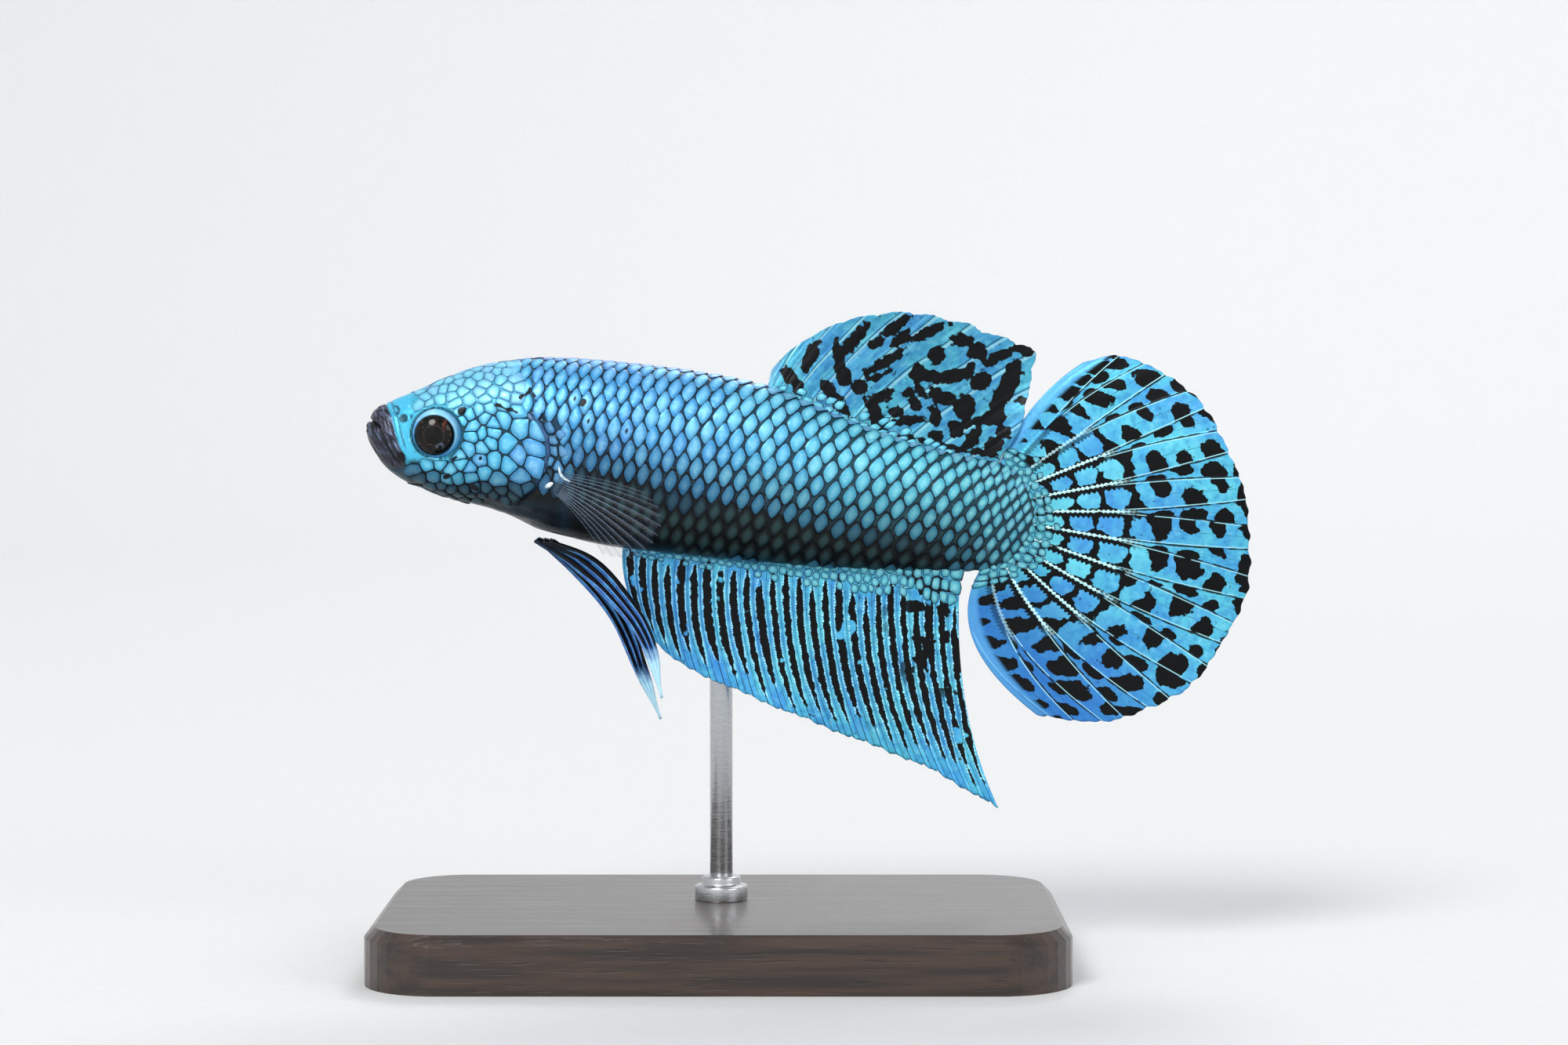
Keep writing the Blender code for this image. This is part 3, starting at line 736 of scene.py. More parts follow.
def scaleFinish():
    material, wire, feed = newFinish("fishScale", Metallic=0.3, Specular_IOR_Level=0.3)
    place = wire.objectPlace()
    along, dark, pale = wire.attribute("mark")
    edge, tone, centreDark = wire.attribute("lie")
    cloud = wire.noise(place, 300, 2)
    fine = wire.noise(place, 3000, 3)
    lilac = (tone * 7.3).fract().ease(0.5, 1.0) * along.ease(0.55, 0.3)
    faint = wire.blend(edge.ease(0.2, 0.5), "263F42", "081314")
    soft = (0 - centreDark).most(0)
    glints = wire.noise(place, 1500, 1).ease(0.63, 0.68) * edge.ease(0.6, 0.7) * (1 - dark) * 0.5
    joint = wire.blend(dark.ease(0.0, 0.7), "0B2C3E", "02060A").under((glints, "7FA9BC"))
    colour = (along + (cloud - 0.5) * 0.1 + (tone - 0.5) * 0.06).ramp(bodyRamp).under(
        (tone.ease(0.35, 1.0) * 0.2, "9CE4EE"),
        (lilac * 0.4, "5A86E0"),
        # a lighter middle on each scale: painted highlight on its dome
        ((1 - edge * 2).ease(0.0, 1.0) * 0.34, "A6EAF4"),
        (fine.ease(0.55, 0.75) * 0.25, "2F7CC8"),
        (fine.ease(0.46, 0.36) * 0.2, "B4F0F6"),
        # darker towards each scale's rim: painted shade
        (edge.ease(0.24, 0.5) * 0.45, "1F6C9C"),
        (pale * 0.7, "7486C0"),
        # the dark guide: dark pigment together with painted shade
        ((dark * 1.15).least(1) * 0.88, "0D3A58"),
        (dark.ease(0.72, 0.97), faint),
        (centreDark.ease(0.2, 0.8) * (1 - edge.ease(0.05, 0.22)), "0B1B33"),
        (soft * 0.3, "A2E2F6"),
        (edge.ease(0.5, 0.58) * (1 - soft * 0.5), joint))
    x, y, z = place.parts()
    x, z = x * (1 / mm), z * (1 / mm)
    wobble = (wire.noise(place, 1300, 2) - 0.5) * 0.4
    for startAlong, startUp, endAlong, endUp, halfWidth in headStrokes:
        (x0, z0), (x1, z1) = boxSpots("head", [(startAlong, startUp), (endAlong, endUp)])
        long = (x1 - x0) ** 2 + (z1 - z0) ** 2
        share = (((x - x0) * (x1 - x0) + (z - z0) * (z1 - z0)) / long).most(0).least(1)
        reach = ((x - x0 - share * (x1 - x0)) ** 2 + (z - z0 - share * (z1 - z0)) ** 2) ** 0.5 + wobble
        colour = wire.blend(reach.ease(halfWidth + 0.06, halfWidth - 0.04), colour, "070D16")
    feed(Base_Color=colour, Roughness=fine.span(0.3, 0.7, 0.36, 0.5), Normal=wire.bump(fine, 0.00003, 0.5))
    return material


def bodySurface(side, grid):
    def surface(x, up):
        share = shareOf(x, up)
        points, normals = sampleGrid(grid, x, share), unit(sampleGrid(baseNormals, x, share))
        if side > 0:
            points, normals = points * (1, -1, 1), normals * (1, -1, 1)
        return points, normals

    return surface


def leaningOutline(halfLength, halfHeight, backward):
    # a leaf shape: its top leans to the tail, its foot to the head, its sides bulge
    turns = 2 * np.pi * np.arange(plateMaker["corners"]) / plateMaker["corners"]
    p, q = (np.sign(wave) * np.abs(wave) ** (2 / scaleMaker["exponent"])
            for wave in (np.cos(turns), np.sin(turns)))
    frontPoints, backPoints = np.array(scaleMaker["frontPoints"]), np.array(scaleMaker["backPoints"])
    (rearX, rearZ), (topX, topZ) = frontPoints + (backPoints - frontPoints) * backward
    return np.stack([halfLength * (rearX * p + topX * q), halfHeight * (rearZ * p + topZ * q)], axis=-1)


scaleMaker = {
    "pitchPlaces": [-24, -19, -12, -5, 6, 11, 14, 16, 18],
    "lengthPitch": [0.93, 0.96, 1.03, 1.20, 1.26, 1.15, 0.95, 0.78, 0.66],
    "rowPitch": [1.44, 1.52, 1.56, 1.54, 1.42, 1.28, 1.06, 0.86, 0.74],
    "rowFall": [0.12, 0.15, 0.14, 0.11, 0.04, 0.0, 0.0, 0.0, 0.0],
    "lean": [0.05, 0.08, 0.09, 0.10, 0.13, 0.2, 0.24, 0.27, 0.3],
    # a scale's rear point and top point from its middle, as shares of half its pitches
    "frontPoints": [(1.12, 0.15), (0.35, 1.41)],
    "backPoints": [(1.02, 0.21), (0.43, 1.43)],
    "exponent": 1.42,
    "rim": 0.12,
    "dome": 0.05,
    "tilt": 0.035,
    "napeTop": -25.5,          # where the rows of the back begin, in mm along the fish
    "rowsEnd": 18.6,           # where the last row may be, before it leans
    "lastPlace": 17.3,         # and where the last scale may be
    "ridgeShare": 0.02,        # how near the back's middle line a scale may sit
    "shoulder": 1.45,          # width of the irregular scales behind the gill cover
    "underPlates": -0.12,      # how far the first scales reach under them
}


crestHeight = 43.3             # above it the head ends in a line across the nape, below it at the gill cover


def headEdge(x, z):
    # mm behind the line where the head's plates give way to the body's scales
    rise = (z - crestHeight).clip(0)
    nape = x - (-21.6 - 0.55 * rise + 0.02 * rise ** 2)
    return np.where(z > crestHeight, nape, pathField(x, z, gillEdge)[0])


def shoulderWidth(z):
    return scaleMaker["shoulder"] * ease(43.9, 41.6, z) * ease(37.4, 38.6, z)


def bodyScales(dice):
    maker = scaleMaker
    plates = []
    x, fallen = maker["napeTop"], 0.0
    while x < maker["rowsEnd"]:
        lengthPitch, rowPitch, rowFall, lean = (np.interp(x, maker["pitchPlaces"], maker[key])
                                                for key in ("lengthPitch", "rowPitch", "rowFall", "lean"))
        ridge = (np.interp(x, ringX, flankShare) - maker["ridgeShare"]) * np.interp(x, ringX, arcLength)
        for row in range(-10, 14):
            up = (row + 0.35) * rowPitch - fallen
            if ridge < up < ridge + 0.72 * rowPitch:
                up = ridge               # the last row ends on the ridge of the back
            spot = x - lean * up + dice.normal(0, 0.03)
            up += dice.normal(0, 0.03)
            share = float(shareOf(spot, up))
            if not 0.012 < share < 0.985 or spot > maker["lastPlace"]:
                continue
            point = sampleGrid(baseGrid, np.array(spot), np.array(share))
            z = point[2]
            behind = float(headEdge(np.array(spot), np.array(z)) - shoulderWidth(np.array(z)))
            if behind < maker["underPlates"] or z < min(crestHeight, 37.4 - 0.5 * (spot + 20)):
                continue
            size = 1 + dice.normal(0, 0.02)
            widen = float(rimWidening(spot, z))
            along, dark, pale = (float(v) for v in markingsAndShade(np.array(spot), np.array(z), np.array(share)))
            nearTop = min(1.0, 0.55 + share * 8)
            dotted = -18.5 < spot < -14.2 and 41.6 < z < 44.6 and dice.random() < 0.3
            plates.append({
                "centre": (spot, up),
                "outline": leaningOutline(lengthPitch / 2 * size, rowPitch / 2 * size * nearTop,
                                          ease(-13, 0, spot)),
                "rim": maker["rim"] + 0.16 * widen * (1 - 0.65 * dark) + 0.07 * float(ease(4, 14, spot)),
                "dome": maker["dome"] * lengthPitch,
                "tilt": maker["tilt"] * lengthPitch,
                "lift": 0.07,
                # the lower rows darken with the band: partly dark pigment, partly painted shade
                "guide": (along, max(dark, (0.74 + 0.2 * float(ease(-6, -14, spot))) * widen ** 1.15), pale),
                "tone": dice.random(),
                "centreDark": 1.0 if dotted else 0.0,
                "root": (spot, -share),
            })
        x += lengthPitch
        fallen += rowFall * lengthPitch
    return plates


def voronoiPlates(seeds, radii, kept, gap, corners):
    # each kept seed's cell among its neighbours, its corners rounded, as an outline about the seed
    outlines = []
    turns = 2 * np.pi * np.arange(corners) / corners
    rays = np.stack([np.cos(turns), np.sin(turns)], axis=-1)
    for k in kept:
        offset = np.delete(seeds, k, axis=0) - seeds[k]
        distance = np.linalg.norm(offset, axis=1)
        near = offset[distance < radii[k] * 6]
        span = np.linalg.norm(near, axis=1)
        facing = rays @ near.T / span
        reach = np.where(facing > 0.05, (span / 2) / np.maximum(facing, 0.05), 1e3).min(axis=1)
        reach = np.minimum(reach, radii[k] * 2.1)
        outline = rays * reach[:, None]
        rounded = 0.08 * np.roll(outline, 1, axis=0) + 0.84 * outline + 0.08 * np.roll(outline, -1, axis=0)
        length = np.linalg.norm(rounded, axis=1, keepdims=True)
        outlines.append(rounded * np.maximum(1 - gap / length, 0.3))
    return outlines


headPlateMaker = {
    "corners": 16,
    "gap": 0.01,
    "rim": 0.05,
    "dome": 0.06,
    "tries": 14000,
    "closeness": 0.8,
    "flap": 0.14,              # width of the gill cover's bare rear edge
    "eyeRim": 1.07,            # where the plates end round the eye, in shares of its radius
    "shoulderSize": 0.44,
}


def headPlateSize(x, z):
    # radius of the irregular plates over the head
    cheek, _ = pathField(x, z, cheekLine)
    size = np.where(cheek > 0, 0.72, 0.42)
    size = np.where(z > crestHeight, 0.46, size)
    size = np.where((z < 39.7) & (x < -28.2), 0.62, size)
    return np.where(z < 37.6, 0.46, size)


def scatter(x, up, radii, closeness):
    # darts thrown in turn, each kept where it lies clear of those before it
    kept = []
    for k in range(len(x)):
        near = np.array(kept, int)
        apart = np.hypot(x[near] - x[k], up[near] - up[k]) / (radii[near] + radii[k])
        if not len(kept) or apart.min() > closeness:
            kept.append(k)
    return np.array(kept)


def mirrorAt(x, up, z, gap, field):
    # seeds mirrored across the line where field(x, z) equals gap
    here = field(x, z)
    slopeX, slopeZ = (field(x + 0.02, z) - here) / 0.02, (field(x, z + 0.02) - here) / 0.02
    steep = slopeX ** 2 + slopeZ ** 2 + 1e-6
    return np.stack([x - 2 * (here - gap) * slopeX / steep, up - 2 * (here - gap) * slopeZ / steep], axis=-1)


def headPlates(dice):
    maker = headPlateMaker
    x = dice.uniform(-32.5, -17.6, maker["tries"])
    up = dice.uniform(-7.2, 7.4, maker["tries"])
    share = shareOf(x, up)
    z = sampleGrid(baseGrid, x, share)[:, 2]
    edge = headEdge(x, z)
    radii = np.where(edge > 0, maker["shoulderSize"], headPlateSize(x, z))
    inside = (share > 0) & (share < 1) & ((np.abs(edge) > 0.3 * radii) | (z > 43.6))
    x, up, share, z, edge, radii = (values[inside] for values in (x, up, share, z, edge, radii))
    chosen = scatter(x, up, radii, maker["closeness"])
    x, up, share, z, edge, radii = (values[chosen] for values in (x, up, share, z, edge, radii))
    faint = crownShare(x, z)
    eyeRim = maker["eyeRim"] * eyeRadii[0]

    def eyeGap(a, b):
        return fromEye(a, b) * eyeRadii[0]

    plates = []
    for behind in (False, True):
        group = edge > 0 if behind else (edge < 0.1) & (eyeGap(x, z) > eyeRim + 0.2 * radii)
        near = group & (np.abs(edge) < 2.4) & (z < 43.6)
        extra = [mirrorAt(x[near], up[near], z[near], 0.03 if behind else -maker["flap"], headEdge)]
        if behind:
            kept = group & (edge < shoulderWidth(z))
        else:
            beside = (eyeGap(x, z) > eyeRim + 0.1) & (eyeGap(x, z) < eyeRim + 1.4)
            extra.append(mirrorAt(x[beside], up[beside], z[beside], eyeRim, eyeGap))
            kept = group & (scaled(x, z) > 0.6) & (share > 0.015)
        order = np.nonzero(group)[0]
        seeds = np.concatenate([np.stack([x, up], axis=-1)[order]] + extra)
        reaches = np.concatenate([radii[order], np.full(len(seeds) - len(order), 0.5)])
        chosen = np.nonzero(kept[order])[0]
        outlines = voronoiPlates(seeds, reaches, chosen, maker["gap"], maker["corners"])
        for place, outline in zip(chosen, outlines):
            k = order[place]
            along, dark, pale = (float(v) for v in markingsAndShade(x[k], z[k], share[k]))
            reach = np.linalg.norm(outline, axis=1).mean()
            plates.append({
                "centre": (x[k], up[k]),
                "outline": outline,
                "rim": float(np.clip((0.1 if behind else maker["rim"]) / reach, 0.05, 0.3)),
                "dome": maker["dome"] * min(reach * 2, 1.2) * (1 - 0.5 * faint[k]),
                "tilt": 0.012,
                "lift": 0.085,
                # plates just behind the gill cover are darkened and tinted lilac: painted shade behind the
                # cover's edge
                "guide": (along, max(dark * 0.9, 0.25 * behind), max(pale, 0.4 * behind)),
                "tone": dice.random(),
                "centreDark": -float(faint[k]),
                "root": (x[k], -share[k]),
            })
    return plates


scaleMaterial = scaleFinish()
for word, side in flanks:
    dice = np.random.default_rng(11 if side < 0 else 12)
    coats = (("bodyScales", bodyScales, tuckedGrid), ("headPlates", headPlates, skinGrid))
    for name, makePlates, grid in coats:
        plates = makePlates(dice)
        item = plateMesh(name + word, bodySurface(side, grid), plates, scaleMaterial, side > 0)
        settle(item, [])
        print(name + word, len(plates))


finMaker = {
    "halves": (0.26, 0.05),    # half the thickness where a fin leaves the body and at its edge
    "rootSink": 0.75,          # how far a fin's foot reaches into the body
}


def halfThickness(v, rootHalf, edgeHalf):
    return edgeHalf + (rootHalf - edgeHalf) * (1 - ease(0, 0.35, v))


def fanSheet(foot, edge, bow, maker):
    # a fin's middle surface: rays from its foot to its edge, bent, rippled and pleated
    size, waves, lean = maker["ripple"]
    depth, folds = maker["pleats"]
    bite, points = maker["teeth"]

    def surface(u, v):
        start = foot(u)
        end = curveAlong(edge, u)
        bend = (start + end) / 2 + bow(u)
        reach = 1 + bite * (np.abs(np.cos(np.pi * points * u)) ** 0.8 - 0.7)
        reach = reach + 0.006 * np.sin(37 * u) + 0.005 * np.sin(83 * u + 1) * np.sin(211 * u)
        t = (v * reach)[..., None]
        spots = ((start * (1 - t) + bend * t) * (1 - t) + (bend * (1 - t) + end * t) * t)
        spots[..., 1] += size * v * v * np.sin(2 * np.pi * (waves * u + lean * v))
        spots[..., 1] += depth * ease(0, 0.3, v) * np.cos(2 * np.pi * folds * u)
        return spots

    return surface


def finPiece(name, surface, maker, material, node):
    # a closed solid: the sheet's two faces and the border between them
    columns, rows = maker["grid"]
    u, v = np.meshgrid(np.linspace(0, 1, columns), np.linspace(0, 1, rows), indexing="ij")
    middle = surface(u, v)
    normals = unit(np.cross(np.gradient(middle, axis=0), np.gradient(middle, axis=1)))
    if normals[..., 1].mean() > 0:
        normals = -normals
    half = halfThickness(v, *maker.get("halves", finMaker["halves"]))
    half = (half * (0.25 + 0.75 * ease(0, 0.03, u) * ease(1, 0.97, u)))[..., None]
    points = np.stack([middle + normals * half, middle - normals * half]).reshape(-1, 3)
    index = np.arange(columns * rows).reshape(columns, rows)
    quads = np.stack([index[:-1, :-1], index[1:, :-1], index[1:, 1:], index[:-1, 1:]], axis=-1).reshape(-1, 4)
    border = np.concatenate([index[:-1, 0], index[-1, :-1], index[:0:-1, -1], index[0, :0:-1]])
    ahead = np.roll(border, -1)
    strip = np.stack([border, border + columns * rows, ahead + columns * rows, ahead], axis=-1)
    faces = np.concatenate([quads, quads[:, ::-1] + columns * rows, strip])
    first = points[quads[0]]
    if np.cross(first[1] - first[0], first[2] - first[0]) @ normals[0, 0] <= 0:
        faces = faces[:, ::-1]
    item = arrayPiece(name, points, faces.tolist(), material)
    flat = np.stack([u, v], axis=-1).reshape(-1, 2)
    setUv(item, "rayMap", np.concatenate([flat, flat])[faces.ravel()])
    settle(item, [node])
    return item, points


def sidePoints(node, shares):
    return np.array([(x, 0.0, z) for x, z in boxSpots(node, shares)])


def bend3(x, z):
    return np.stack([x, 0 * x, z], axis=-1)


def footOnBack(u, start, end, line, sink):
    x = start + (end - start) * u
    return np.stack([x, 0 * x, np.interp(x, ringX, line) + sink], axis=-1)


def membraneStart(name, metallic=0.3):
    material, wire, feed = newFinish(name, Metallic=metallic, Specular_IOR_Level=0.2)
    return [material, wire, feed, wire.objectPlace()] + wire.uvPlace("rayMap")


def membraneBase(wire, place):
    # the blue-green of a fin, clouded and speckled
    cloud = wire.noise(place, 330, 2)
    fine = wire.noise(place, 1900, 3)
    specks = wire.noise(place, 2600, 1).ease(0.71, 0.75)
    colour = wire.blend(cloud.ease(0.35, 0.65), "429DD2", "55BCD6").under(
        (fine.ease(0.52, 0.7) * 0.35, "8ADCEA"),
        (fine.ease(0.47, 0.36) * 0.4, "2A6CB4"),
        (specks * 0.8, "0B1C2C"))
    return colour, fine


# A fin's values may hold its edge as shares of its box, its grid of columns and rows, its ripple (mm high,
# waves, how they lean), its pleats (mm high, how many), its teeth (share of a ray, how many) and its halves
caudalMaker = {
    "lanes": 12,
    "rows": 7.4,
    "laneWidths": (1.2, 4.0),      # mm across a lane at the fin's foot and at its edge
    "split": 0.38,                 # where the rays fork
    "edge": [(0.411, 0.982), (0.536, 1.0), (0.697, 0.954), (0.839, 0.85), (0.938, 0.704), (0.996, 0.519),
             (0.991, 0.365), (0.911, 0.209), (0.755, 0.073), (0.563, 0.01), (0.394, -0.001), (0.251, 0.013)],
    "foot": [(0.148, 0.726), (0.229, 0.677), (0.264, 0.564), (0.229, 0.456), (0.041, 0.383)],
    "footShift": [(-0.7, 0, -0.5), (-1.1, 0, -0.3), (-1.3, 0, 0), (-1.1, 0, 0.4), (0.2, 0, 0.9)],
    "grid": (239, 80),
    "ripple": (1.0, 1.6, 0.25),
    "pleats": (0.03, 12),
    "teeth": (0.01, 24),
}


def caudalFinish():
    material, wire, feed, place, u, v = membraneStart("caudalMembrane")
    colour, fine = membraneBase(wire, place)
    wave = u * caudalMaker["lanes"]
    width = v.span(0, 1, *caudalMaker["laneWidths"])
    fromRay = (wave + 0.5).fract() - 0.5
    rayNumber = (wave + 0.5).floor()
    fork = v.span(caudalMaker["split"], 1.0, 0.0, 0.25)
    forked = (fork - abs(fromRay)).ease(-0.001, 0.001)
    across = forked * (fromRay / fork.most(0.001)) + (1 - forked) * ((wave.fract() - 0.5) / (0.5 - fork))
    number = forked * (rayNumber + 50) + (1 - forked) * wave.floor()
    coarse = wire.noise(place, 500, 2)
    cloudy = wire.noise(place, 240, 2)
    rows = v * caudalMaker["rows"] + wire.chance(number * 1.7 + 3) * 0.7 + (coarse - 0.5) * 0.4
    row = rows.fract() * 2 - 1
    cellLuck = wire.chance(number * 13.7 + rows.floor() * 7.3)
    ragged = (wire.noise(place, 1700, 3) - 0.5) * 0.75
    square = (abs(across) ** 2.6 + abs(row) ** 2.6) ** 0.385
    bars = square + ragged - 0.84 + v.ease(0.5, 0.2) * 0.04
    joint = rows + 0.5
    jointLuck = wire.chance(number * 9.1 + joint.floor() * 3.3)
    side = (wire.chance(number * 4.7 + joint.floor() * 8.9).ease(0.49, 0.51) * 2 - 1) * 0.6
    size = jointLuck.span(0, 1, 0.85, 1.6)
    blot = (((across - side) / 0.85) ** 2 + ((joint.fract() - 0.5) / 0.30) ** 2) ** 0.5
    blots = (size - blot) * 0.6 + ragged
    lobes = u.ease(0.26, 0.12).most(u.ease(0.74, 0.88)) * 0.75
    outer = v.ease(0.42, 0.66).most(lobes)
    black = (bars * (1 - outer) + blots * outer).ease(-0.015, 0.03) * v.ease(0.04, 0.1)
    calm = 1 - outer * 0.75
    offset = fromRay * width
    teeth = abs((v * 44 + fine * 0.9).fract() - 0.5) * 2
    middleFan = u.ease(0.1, 0.22) * u.ease(0.97, 0.84)
    under = (0.42 + teeth * 0.22 - offset).ease(0.0, 0.04) * offset.ease(0.06, 0.12)
    under = under * v.ease(0.02, 0.05) * v.ease(0.56, 0.42)
    black = black.most(under * middleFan.most(0.6))
    branch = (abs(fromRay) - fork) * width
    thin = (0.075 + (fine - 0.5) * 0.3 - abs(branch)).ease(0.0, 0.03) * v.ease(0.4, 0.5)
    black = black.most(thin * 0.9)
    middleLine = (0.03 + (fine - 0.5) * 0.1 - abs(across) * width * 0.25).ease(0.0, 0.03)
    black = black.most(middleLine * v.ease(0.6, 0.72) * 0.6)
    strip = u.ease(0.05, 0.03).most(u.ease(0.965, 0.98))
    black = black * (1 - strip)
    breaks = wire.noise(place, 800, 1).ease(0.34, 0.40)
    pale = (0.06 + teeth * 0.13 - abs(offset)).ease(0.0, 0.04) * breaks
    pale = pale * v.ease(0.02, 0.05) * v.ease(0.54, 0.4)
    forkPale = (0.06 - abs(branch - 0.12)).ease(0.0, 0.04) * v.ease(0.4, 0.5) * breaks * 0.75
    colour = colour.under(
        (cellLuck.ease(0.3, 1.0) * 0.45 * calm, "4A90DC"),
        ((1 - cellLuck).ease(0.4, 1.0) * 0.55 * calm, "78DCEA"),
        ((cloudy - 0.5).ease(0.0, 0.25) * outer * 0.5, "4A86DC"),
        (u.ease(0.62, 0.92) * 0.8, "2360B0"),
        (v.ease(0.28, 0.02) * 0.6, "4DB4BE"),
        (black, "030507"),
        (pale * middleFan * 0.95, "C4F1F4"),
        (forkPale, "A9E6F2"),
        (strip * 0.6, "5BA4DC"))
    ridge = (0.22 - abs(offset)).ease(0.0, 0.2) * (0.6 + 0.4 * teeth) * v.ease(0.7, 0.4)
    ridge = ridge + (0.12 - abs(branch)).ease(0.0, 0.12) * 0.4 * v.ease(0.4, 0.55)
    feed(Base_Color=colour, Roughness=fine.span(0.3, 0.7, 0.32, 0.48),
         Normal=wire.bump(ridge + fine * 0.4, 0.0001, 0.6))
    return material


def analFinish():
    material, wire, feed, place, u, v = membraneStart("analMembrane")
    colour, fine = membraneBase(wire, place)
    wave = u * 26 + (wire.noise(place, 160, 1) - 0.5) * 0.35
    lane, number = wave.fract(), wave.floor()
    luck = wire.chance(number + 9)
    luckTwo = wire.chance(number + 40)
    coarse = wire.noise(place, 480, 2)
    ragged = (wire.noise(place, 2100, 2) - 0.5) * 0.4
    middle = abs(lane - 0.64)
    rear = u.ease(0.70, 0.86)
    starts = 0.05 + 0.13 * luckTwo
    ends = 0.97 - 0.14 * luck
    taper = (v - starts).ease(-0.01, 0.16) * (ends - v).ease(-0.02, 0.24)
    halfWidth = (0.23 + 0.08 * luck + (coarse - 0.5) * (0.16 + rear * 0.5)) * (0.35 + 0.65 * taper)
    lengthwise = (v - starts).ease(0.0, 0.02) * (ends - v).ease(0.0, 0.02)
    black = (halfWidth + ragged - middle).ease(-0.01, 0.02) * lengthwise
    black = black * coarse.ease(0.67, 0.64)
    blot = (wire.noise(place, 620, 2) + ragged * 0.2).ease(0.56, 0.58) * rear * v.ease(0.6, 0.5)
    black = black.most(blot)
    edging = (middle - halfWidth - ragged).ease(0.0, 0.03) * (halfWidth + 0.11 - middle).ease(0.0, 0.05)
    edging = edging * lengthwise
    teeth = abs((v * 60 + fine * 1.2).fract() - 0.5) * 2
    line = (0.035 + ragged * 0.1 - abs(lane - 0.14)).ease(0.0, 0.03)
    second = (0.02 + ragged * 0.15 - abs(lane - 0.3 + luck * 0.1)).ease(0.0, 0.03)
    second = second * (luckTwo - 0.4).ease(0.0, 0.1)
    tipLine = (0.05 - middle).ease(0.0, 0.04) * v.ease(0.8, 0.86)
    colour = colour.under(
        (luck.ease(0.4, 1.0) * 0.4, "3C7FDA"),
        (u.ease(0.35, 0.1) * 0.35, "3C86D8"),
        (edging * teeth.ease(0.2, 0.6) * 0.85, "B4EEF4"),
        (line * 0.85, "0B1D3A"),
        (second * 0.8, "081428"),
        (v.ease(0.12, 0.0) * 0.7, "3F9FB0"),
        (black.most(tipLine), "030507"))
    ridge = (0.16 - abs(lane - 0.14)).ease(0.0, 0.14) * (0.7 + 0.3 * teeth)
    feed(Base_Color=colour, Roughness=fine.span(0.3, 0.7, 0.32, 0.48),
         Normal=wire.bump(ridge + fine * 0.4, 0.0001, 0.6))
    return material


# The dorsal fin's black blotches, in mm from the low front corner of its box: along, up, half length,
# half width and turn in degrees
dorsalBlotches = [
    (3.6, 7.9, 1.05, 0.45, 65), (2.2, 6.0, 1.2, 0.4, -55), (6.9, 9.1, 1.4, 0.42, 50),
    (5.8, 7.5, 1.2, 0.34, 95), (6.2, 6.2, 0.5, 0.5, 0), (5.5, 4.6, 1.5, 0.42, -55),
    (10.4, 10.3, 1.05, 0.33, 35), (8.8, 8.9, 0.55, 0.28, 25), (10.6, 9.2, 0.65, 0.28, 50),
    (9.4, 7.4, 1.6, 0.3, 33), (7.4, 5.5, 0.55, 0.5, 0), (12.9, 9.8, 1.25, 0.34, 25),
    (15.5, 9.1, 0.75, 0.42, -10), (13.5, 7.9, 0.62, 0.6, 0), (16.7, 8.2, 0.7, 0.6, 0),
    (12.0, 6.5, 0.7, 0.52, 90), (14.5, 6.3, 1.5, 0.42, 8), (17.0, 5.9, 0.7, 0.55, 30),
    (18.3, 7.8, 1.05, 0.34, 25), (20.4, 8.4, 0.6, 0.4, -20), (19.2, 5.6, 1.5, 0.62, 60),
    (18.1, 3.1, 0.85, 0.6, 20), (15.7, 3.9, 0.95, 0.7, 90), (13.5, 4.9, 0.6, 0.42, -35),
    (14.3, 4.3, 0.7, 0.2, 0), (13.4, 3.3, 0.7, 0.36, -85), (10.3, 3.5, 0.5, 0.36, 0),
    (11.3, 2.8, 1.0, 0.32, 8), (8.6, 3.3, 1.3, 0.42, -72), (9.2, 4.7, 0.85, 0.34, 25),
    (11.8, 4.2, 0.55, 0.3, -60), (11.3, 5.0, 0.35, 0.3, 0), (13.4, 1.5, 0.5, 0.48, 0),
    (15.0, 2.2, 0.55, 0.55, 0), (16.4, 1.6, 0.75, 0.42, 60), (18.8, 1.9, 0.55, 0.42, 0),
    (18.0, 0.9, 0.7, 0.5, 40), (16.9, 0.3, 0.85, 0.18, -8), (12.2, 1.3, 2.8, 0.1, -12),
    (19.6, 6.6, 0.9, 0.5, 75), (18.4, 4.3, 1.0, 0.55, 65), (17.2, 2.9, 0.8, 0.3, 15),
    (13.2, 6.5, 0.7, 0.2, 0), (14.6, 4.6, 0.6, 0.3, -20), (9.0, 2.5, 0.6, 0.28, -35),
    (12.2, 5.3, 0.6, 0.22, -60), (15.9, 2.7, 0.5, 0.3, 60), (16.0, 0.9, 0.8, 0.26, 35),
    (16.2, 7.0, 0.5, 0.2, 60), (20.2, 4.4, 0.3, 0.25, 0), (8.9, 6.3, 0.6, 0.22, 25),
]


def blotchField(points, node, blotches):
    # mm inside (positive) or outside the nearest blotch, seen from the side
    corner = nodeBox(node)[0]
    along, up = points[:, 0] - corner[0], points[:, 2] - corner[2]
    field = np.full(len(points), -2.0)
    for spotAlong, spotUp, halfLength, halfWidth, turn in blotches:
        c, s = math.cos(math.radians(turn)), math.sin(math.radians(turn))
        a, b = along - spotAlong, up - spotUp
        reach = np.hypot((a * c + b * s) / halfLength, (b * c - a * s) / halfWidth)
        field = np.maximum(field, (1 - reach) * min(halfLength, halfWidth))
    return field


